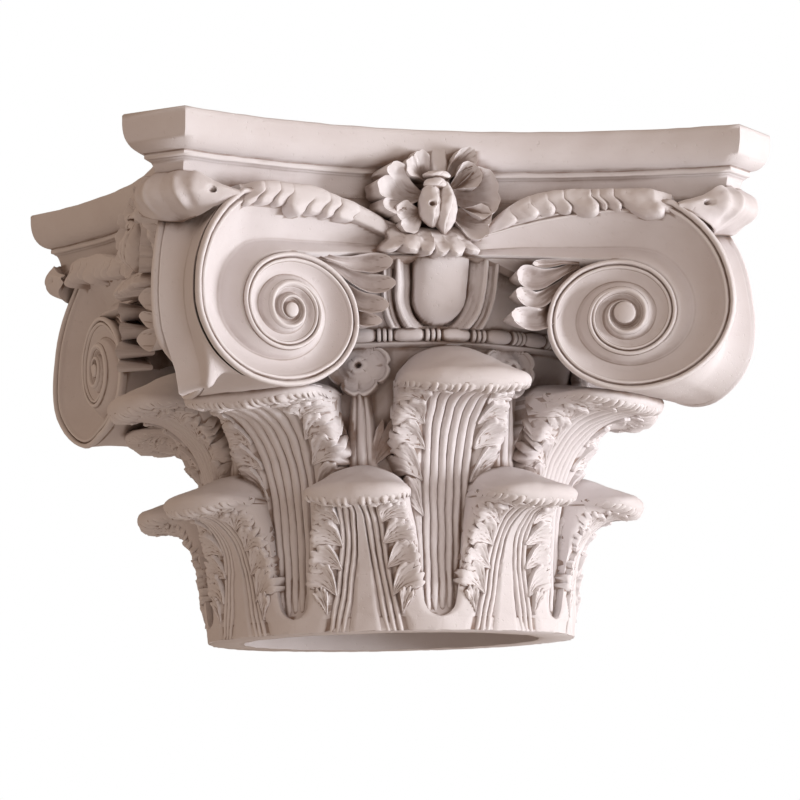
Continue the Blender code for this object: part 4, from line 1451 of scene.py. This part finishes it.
def make_stems(sizes, material):
    """Between the upper leaves: a fluted stem with a four-petalled rosette and two small husks."""
    shape = Shape()

    def place(along, height, out):
        return round_axis(1.0 + out, along, height)

    middle, size = ROSETTE_HEIGHT, sizes.rosette_radius / MODULE
    turn = np.linspace(0, math.tau, 96, endpoint=False)[None, :]
    share = np.concatenate([[1.02], np.linspace(1.0, 0.05, 26)])[:, None]
    four = np.abs(np.cos(2 * turn)) ** 0.45
    cleft = np.exp(-((np.mod(turn + math.pi / 4, math.pi / 2) - math.pi / 4) / 0.10) ** 2)
    reach = size * share * (0.76 + 0.20 * four - 0.09 * cleft * share**3)
    out = 0.082 - 0.024 * np.sin(math.pi * np.clip((share - 0.36) / 0.54, 0, 1)) * four
    out = out + 0.014 * bump(share, 0.93, 0.13) - 0.020 * (1 - four) * smooth(share, 0.4, 0.7)
    out = out - 0.010 * cleft * smooth(share, 0.45, 0.8)
    out = out + 0.024 * bump(share, 0.19, 0.26) - 0.04 * (share > 1.01) - 0.03 * smooth(0.10 - share, 0, 0.05)
    shape.loft(place(reach * np.cos(turn), middle + reach * np.sin(turn), out))
    z = np.linspace(STEM_FOOT, STEM_TOP, 12)[:, None]
    a = np.linspace(-1, 1, 31)[None, :]
    width = np.interp(z, *STEM_WIDTHS)
    base = np.interp(z, *STEM_STANDS)
    flutes = 0.05 * np.sqrt(1 - 0.9 * a**2) + 0.014 * ridges((a + 1) / 2, 3, 0.7)
    shape.patch(place(width * a, z + 0 * a, base + flutes), place(width * a, z + 0 * a, base - 0.05 + 0 * a))
    for side in (-1, 1):

        def mirrored(along, height, out, side=side):
            return place(side * along, height, out)

        hand(shape, mirrored, (0.05, 0.84), 24, 0.29, 26, 4, 0.0, 0.05, 0.02, 0.018, 8, 0.28, -0.10)
    obj = shape.build("stem", roughness=0.002 * sizes.unevenness)
    return repeated("stems", obj, math.pi / PIECES["stems"], material)


# Finish, with painted shade and painted highlights

# Painted shade: how brown the bore's walls are painted, for the shade inside it.
BORE_SHADE = 0.22  # how brown the walls of the bore are


def noise(tree, vector, scale, detail=3.0, roughness=0.55):
    """Soft noise, 0 to 1."""
    node = tree.nodes.new("ShaderNodeTexNoise")
    node.inputs["Scale"].default_value = scale
    node.inputs["Detail"].default_value = detail
    node.inputs["Roughness"].default_value = roughness
    tree.links.new(vector, node.inputs["Vector"])
    return node.outputs["Fac"]


def stretch(tree, value, low, high, to_low=0.0, to_high=1.0):
    """A soft step from one value to another as the input goes from low to high."""
    node = tree.nodes.new("ShaderNodeMapRange")
    node.interpolation_type = "SMOOTHSTEP"
    for label, number in (("From Min", low), ("From Max", high), ("To Min", to_low), ("To Max", to_high)):
        node.inputs[label].default_value = number
    tree.links.new(value, node.inputs["Value"])
    return node.outputs["Result"]


def arithmetic(tree, operation, a, b):
    """Two values, each a number or a socket, put together."""
    node = tree.nodes.new("ShaderNodeMath")
    node.operation = operation
    for socket, value in zip(node.inputs, (a, b)):
        if isinstance(value, (int, float)):
            socket.default_value = value
        else:
            tree.links.new(value, socket)
    return node.outputs[0]


def mixed(tree, share, a, b):
    """Colour a, with this share of colour b."""
    node = tree.nodes.new("ShaderNodeMix")
    node.data_type = "RGBA"
    for label, value in (("Factor_Float", share), ("A_Color", a), ("B_Color", b)):
        socket = next(i for i in node.inputs if i.identifier == label)
        if isinstance(value, (int, float, tuple)):
            socket.default_value = value
        else:
            tree.links.new(value, socket)
    return next(o for o in node.outputs if o.identifier == "Result_Color")


def plaster(finish):
    """Aged cast plaster: paler on crests, partly rubbed and partly a painted highlight; browner in grooves
    and hollows, which is painted shade; finely pitted.
    """
    material = bpy.data.materials.get("cast_plaster")
    if material:
        return material
    material = bpy.data.materials.new("cast_plaster")
    material.use_nodes = True
    tree = material.node_tree
    nodes, links = tree.nodes, tree.links
    nodes.clear()
    output = nodes.new("ShaderNodeOutputMaterial")
    shader = nodes.new("ShaderNodeBsdfPrincipled")
    shader.inputs["Roughness"].default_value = finish.roughness
    shader.inputs["Specular IOR Level"].default_value = 0.2
    links.new(shader.outputs[0], output.inputs[0])
    place = nodes.new("ShaderNodeTexCoord").outputs["Object"]
    recess = nodes.new("ShaderNodeAttribute")
    recess.attribute_name = "recess"
    crest = nodes.new("ShaderNodeAttribute")
    crest.attribute_name = "crest"
    blotch = noise(tree, place, 14, 4)
    blotch = stretch(tree, blotch, 0.35, 0.65)
    base = mixed(tree, blotch, (*finish.darker_plaster, 1), (*finish.paler_plaster, 1))
    # Crests are painted paler: partly rubbed plaster, partly a painted highlight.
    lit_and_rubbed = stretch(tree, crest.outputs["Fac"], 0.12, 0.7, 0, finish.rubbing_and_highlight)
    base = mixed(tree, lit_and_rubbed, base, (*finish.rubbed_and_lit_crests, 1))
    # Painted shade: grooves and closed-in hollows are painted brown, in patches of strength.
    groove = stretch(tree, crest.outputs["Fac"], -0.12, -0.75, 0, 0.75)
    deep = stretch(tree, recess.outputs["Fac"], 0.22, 0.62, 0, 0.85)
    painted_shade = arithmetic(tree, "MAXIMUM", groove, deep)
    patch = stretch(tree, noise(tree, place, 60, 4), 0.3, 0.7, 0.65, 1.1)
    painted_shade = arithmetic(tree, "MULTIPLY", painted_shade, patch)
    # Painted shade: the walls of the bore are painted a little brown all over, for the shade inside it.
    split = nodes.new("ShaderNodeSeparateXYZ")
    links.new(place, split.inputs[0])
    x_square = arithmetic(tree, "MULTIPLY", split.outputs[0], split.outputs[0])
    y_square = arithmetic(tree, "MULTIPLY", split.outputs[1], split.outputs[1])
    square = arithmetic(tree, "ADD", x_square, y_square)
    near, far = BORE + 0.01, BORE + 0.04
    outside = stretch(tree, square, (near * MODULE) ** 2, (far * MODULE) ** 2)
    inside = arithmetic(tree, "MULTIPLY", arithmetic(tree, "SUBTRACT", 1.0, outside), BORE_SHADE)
    painted_shade = arithmetic(tree, "ADD", arithmetic(tree, "MULTIPLY", painted_shade, outside), inside)
    base = mixed(tree, painted_shade, base, (*finish.painted_shade, 1))
    links.new(base, shader.inputs["Base Color"])
    grain = noise(tree, place, 900, 3)
    pit = stretch(tree, noise(tree, place, 420, 2), 0.27, 0.36, 0, 1)
    height = arithmetic(tree, "ADD", arithmetic(tree, "MULTIPLY", grain, 0.35), pit)
    relief = nodes.new("ShaderNodeBump")
    relief.inputs["Strength"].default_value = 0.5
    relief.inputs["Distance"].default_value = finish.grain_depth
    links.new(height, relief.inputs["Height"])
    links.new(relief.outputs[0], shader.inputs["Normal"])
    return material


# Stage

CAMERA_PLACE = (-4.92, -18.64, -1.08)  # in modules
LENS_MM, SENSOR_MM = 159.66, 36
# Each lamp: its turn from the front and its height as angles in degrees, distance, size and colour.
KEY_LAMP = (60, -6, 2.6, 0.9, (0.98, 0.975, 1.0))
FRONT_LAMP = (14, 3, 3.4, 1.6, (0.98, 0.97, 1.0))
LAMP_TARGET = (0, 0, 0.16)


def add_lamp(scene, name, power, azimuth, elevation, distance, size, colour):
    """A round soft lamp that looks at the middle of the capital."""
    data = bpy.data.lights.new(name, "AREA")
    data.shape = "DISK"
    data.size = size
    data.energy = power
    data.color = colour
    obj = bpy.data.objects.new(name, data)
    a, e = math.radians(azimuth), math.radians(elevation)
    aim = Vector((math.sin(a) * math.cos(e), -math.cos(a) * math.cos(e), math.sin(e)))
    obj.location = Vector(LAMP_TARGET) + aim * distance
    obj.rotation_euler = aim.to_track_quat("Z", "Y").to_euler()
    scene.collection.objects.link(obj)


def make_stage(scene, view):
    """Camera, floor, two soft lamps, and a surround that looks white and gives a warm light."""
    scene.view_settings.view_transform = "Standard"
    camera = bpy.data.objects.new("camera", bpy.data.cameras.new("camera"))
    scene.collection.objects.link(camera)
    yaw, pitch, roll = view.yaw, view.pitch, view.roll
    camera.location = Vector(CAMERA_PLACE) * MODULE
    camera.data.lens = LENS_MM
    camera.data.sensor_width = SENSOR_MM
    camera.data.clip_end = 50
    forward = Vector((math.sin(yaw) * math.cos(pitch), math.cos(yaw) * math.cos(pitch), math.sin(pitch)))
    right = Vector((math.cos(yaw), -math.sin(yaw), 0))
    up = right.cross(forward)
    turned_right = math.cos(roll) * right + math.sin(roll) * up
    turned_up = -math.sin(roll) * right + math.cos(roll) * up
    rotation = Matrix((turned_right, turned_up, -forward)).transposed()
    camera.rotation_euler = rotation.to_euler()
    scene.camera = camera

    bpy.ops.mesh.primitive_plane_add(size=8, location=(0, 0, view.floor_height))
    floor = bpy.context.object
    floor.name = "floor"
    pale = bpy.data.materials.new("pale_floor")
    pale.use_nodes = True
    shader = pale.node_tree.nodes["Principled BSDF"]
    shader.inputs["Base Color"].default_value = (*view.floor_colour, 1)
    shader.inputs["Roughness"].default_value = 0.9
    floor.data.materials.append(pale)

    add_lamp(scene, "key", view.key_power, *KEY_LAMP)
    add_lamp(scene, "front", view.front_power, *FRONT_LAMP)
    world = bpy.data.worlds.new("studio")
    scene.world = world
    world.use_nodes = True
    nodes, links = world.node_tree.nodes, world.node_tree.links
    nodes.clear()
    output = nodes.new("ShaderNodeOutputWorld")
    seen = nodes.new("ShaderNodeBackground")
    seen.inputs["Color"].default_value = (1, 1, 1, 1)
    lit = nodes.new("ShaderNodeBackground")
    lit.inputs["Color"].default_value = (*view.surround_colour, 1)
    lit.inputs["Strength"].default_value = view.surround_strength
    path = nodes.new("ShaderNodeLightPath")
    mix = nodes.new("ShaderNodeMixShader")
    links.new(path.outputs["Is Camera Ray"], mix.inputs[0])
    links.new(lit.outputs[0], mix.inputs[1])
    links.new(seen.outputs[0], mix.inputs[2])
    links.new(mix.outputs[0], output.inputs[0])


# Operators and panel


class PieceOperator:
    """What the operators of the pieces share."""

    bl_options = {"REGISTER", "UNDO"}

    def execute(self, context):
        sizes, material = context.scene.capital_sizes, plaster(context.scene.capital_finish)
        for piece in self.carve(sizes, material):
            settle(piece)
        return {"FINISHED"}


class CAPITAL_OT_bell(PieceOperator, bpy.types.Operator):
    """Turn the bell, the round body behind the leaves"""

    bl_idname = "capital.bell"
    bl_label = "Bell"

    def carve(self, sizes, material):
        yield make_bell(sizes, material)


class CAPITAL_OT_leaves(PieceOperator, bpy.types.Operator):
    """Carve the three kinds of acanthus leaf: lower, upper and corner"""

    bl_idname = "capital.leaves"
    bl_label = "Leaves"

    def carve(self, sizes, material):
        yield make_leaves("lower_leaves", LOWER_LEAF, math.pi / 8, sizes, material)
        yield make_leaves("upper_leaves", UPPER_LEAF, 0.0, sizes, material)
        yield make_leaves("corner_leaves", CORNER_LEAF, math.pi / 4, sizes, material)


class CAPITAL_OT_bead_ring(PieceOperator, bpy.types.Operator):
    """Turn the ring of beads and discs over the leaves"""

    bl_idname = "capital.bead_ring"
    bl_label = "Bead ring"

    def carve(self, sizes, material):
        yield make_bead_ring(sizes, material)


class CAPITAL_OT_egg_ring(PieceOperator, bpy.types.Operator):
    """Carve the ring of eggs and darts, with the palmettes over it"""

    bl_idname = "capital.egg_ring"
    bl_label = "Egg ring"

    def carve(self, sizes, material):
        yield make_egg_ring(sizes, material)


class CAPITAL_OT_volutes(PieceOperator, bpy.types.Operator):
    """Carve the volutes of the four corners and their channels"""

    bl_idname = "capital.volutes"
    bl_label = "Volutes"

    def carve(self, sizes, material):
        yield make_volutes(sizes, material)


class CAPITAL_OT_abacus(PieceOperator, bpy.types.Operator):
    """Run the abacus, the moulded slab on top"""

    bl_idname = "capital.abacus"
    bl_label = "Abacus"

    def carve(self, sizes, material):
        yield make_abacus(sizes, material)


class CAPITAL_OT_flowers(PieceOperator, bpy.types.Operator):
    """Carve the flower on the middle of each side"""

    bl_idname = "capital.flowers"
    bl_label = "Flowers"

    def carve(self, sizes, material):
        yield make_flowers(sizes, material)


class CAPITAL_OT_channel_leaves(PieceOperator, bpy.types.Operator):
    """Carve the husks over the channels and the curled tips at the corners"""

    bl_idname = "capital.channel_leaves"
    bl_label = "Husks"

    def carve(self, sizes, material):
        yield make_channel_leaves(sizes, material)


class CAPITAL_OT_stems(PieceOperator, bpy.types.Operator):
    """Carve the fluted stems with their rosettes"""

    bl_idname = "capital.stems"
    bl_label = "Stems and rosettes"

    def carve(self, sizes, material):
        yield make_stems(sizes, material)


class CAPITAL_OT_painted_light_and_rubbing(bpy.types.Operator):
    """Mark the finished pieces' crests and hollows for the painted shade, the painted highlights and the
    rubbing of the finish
    """

    bl_idname = "capital.weather"
    bl_label = "Wear and dirt"
    bl_options = {"REGISTER", "UNDO"}

    def execute(self, context):
        mark_painted_light_and_rubbing(context.scene.capital_finish.shade_reach)
        return {"FINISHED"}


class CAPITAL_OT_stage(bpy.types.Operator):
    """Set up the camera, the floor and the light"""

    bl_idname = "capital.stage"
    bl_label = "Stage"
    bl_options = {"REGISTER", "UNDO"}

    def execute(self, context):
        make_stage(context.scene, context.scene.capital_view)
        return {"FINISHED"}


# In the order in which they are run.
OPERATORS = (
    CAPITAL_OT_bell,
    CAPITAL_OT_leaves,
    CAPITAL_OT_bead_ring,
    CAPITAL_OT_egg_ring,
    CAPITAL_OT_volutes,
    CAPITAL_OT_abacus,
    CAPITAL_OT_flowers,
    CAPITAL_OT_channel_leaves,
    CAPITAL_OT_stems,
    CAPITAL_OT_painted_light_and_rubbing,
    CAPITAL_OT_stage,
)
GROUPS = {"capital_sizes": CapitalSizes, "capital_finish": CapitalFinish, "capital_view": CapitalView}


class CAPITAL_PT_panel(bpy.types.Panel):
    """Lists the capital's sizes, colours and operators"""

    bl_idname = "CAPITAL_PT_panel"
    bl_label = "Column capital"
    bl_space_type = "VIEW_3D"
    bl_region_type = "UI"
    bl_category = "Capital"

    def draw(self, context):
        for group_name, group in GROUPS.items():
            box = self.layout.box()
            for name in group.__annotations__:
                box.prop(getattr(context.scene, group_name), name)
        column = self.layout.column(align=True)
        for operator in OPERATORS:
            column.operator(operator.bl_idname)


CLASSES = (*GROUPS.values(), *OPERATORS, CAPITAL_PT_panel)


def register():
    """Adds the classes, and the settings to each scene."""
    for cls in CLASSES:
        bpy.utils.register_class(cls)
    for name, group in GROUPS.items():
        setattr(bpy.types.Scene, name, bpy.props.PointerProperty(type=group))


def unregister():
    """Takes away what register added."""
    for name in GROUPS:
        delattr(bpy.types.Scene, name)
    for cls in reversed(CLASSES):
        bpy.utils.unregister_class(cls)


def main():
    """Runs every operator in turn."""
    register()
    for operator in OPERATORS:
        run = getattr(bpy.ops.capital, operator.bl_idname.split(".")[1])
        if run() != {"FINISHED"}:
            raise RuntimeError(operator.bl_label + " did not finish")


if __name__ == "__main__":
    main()
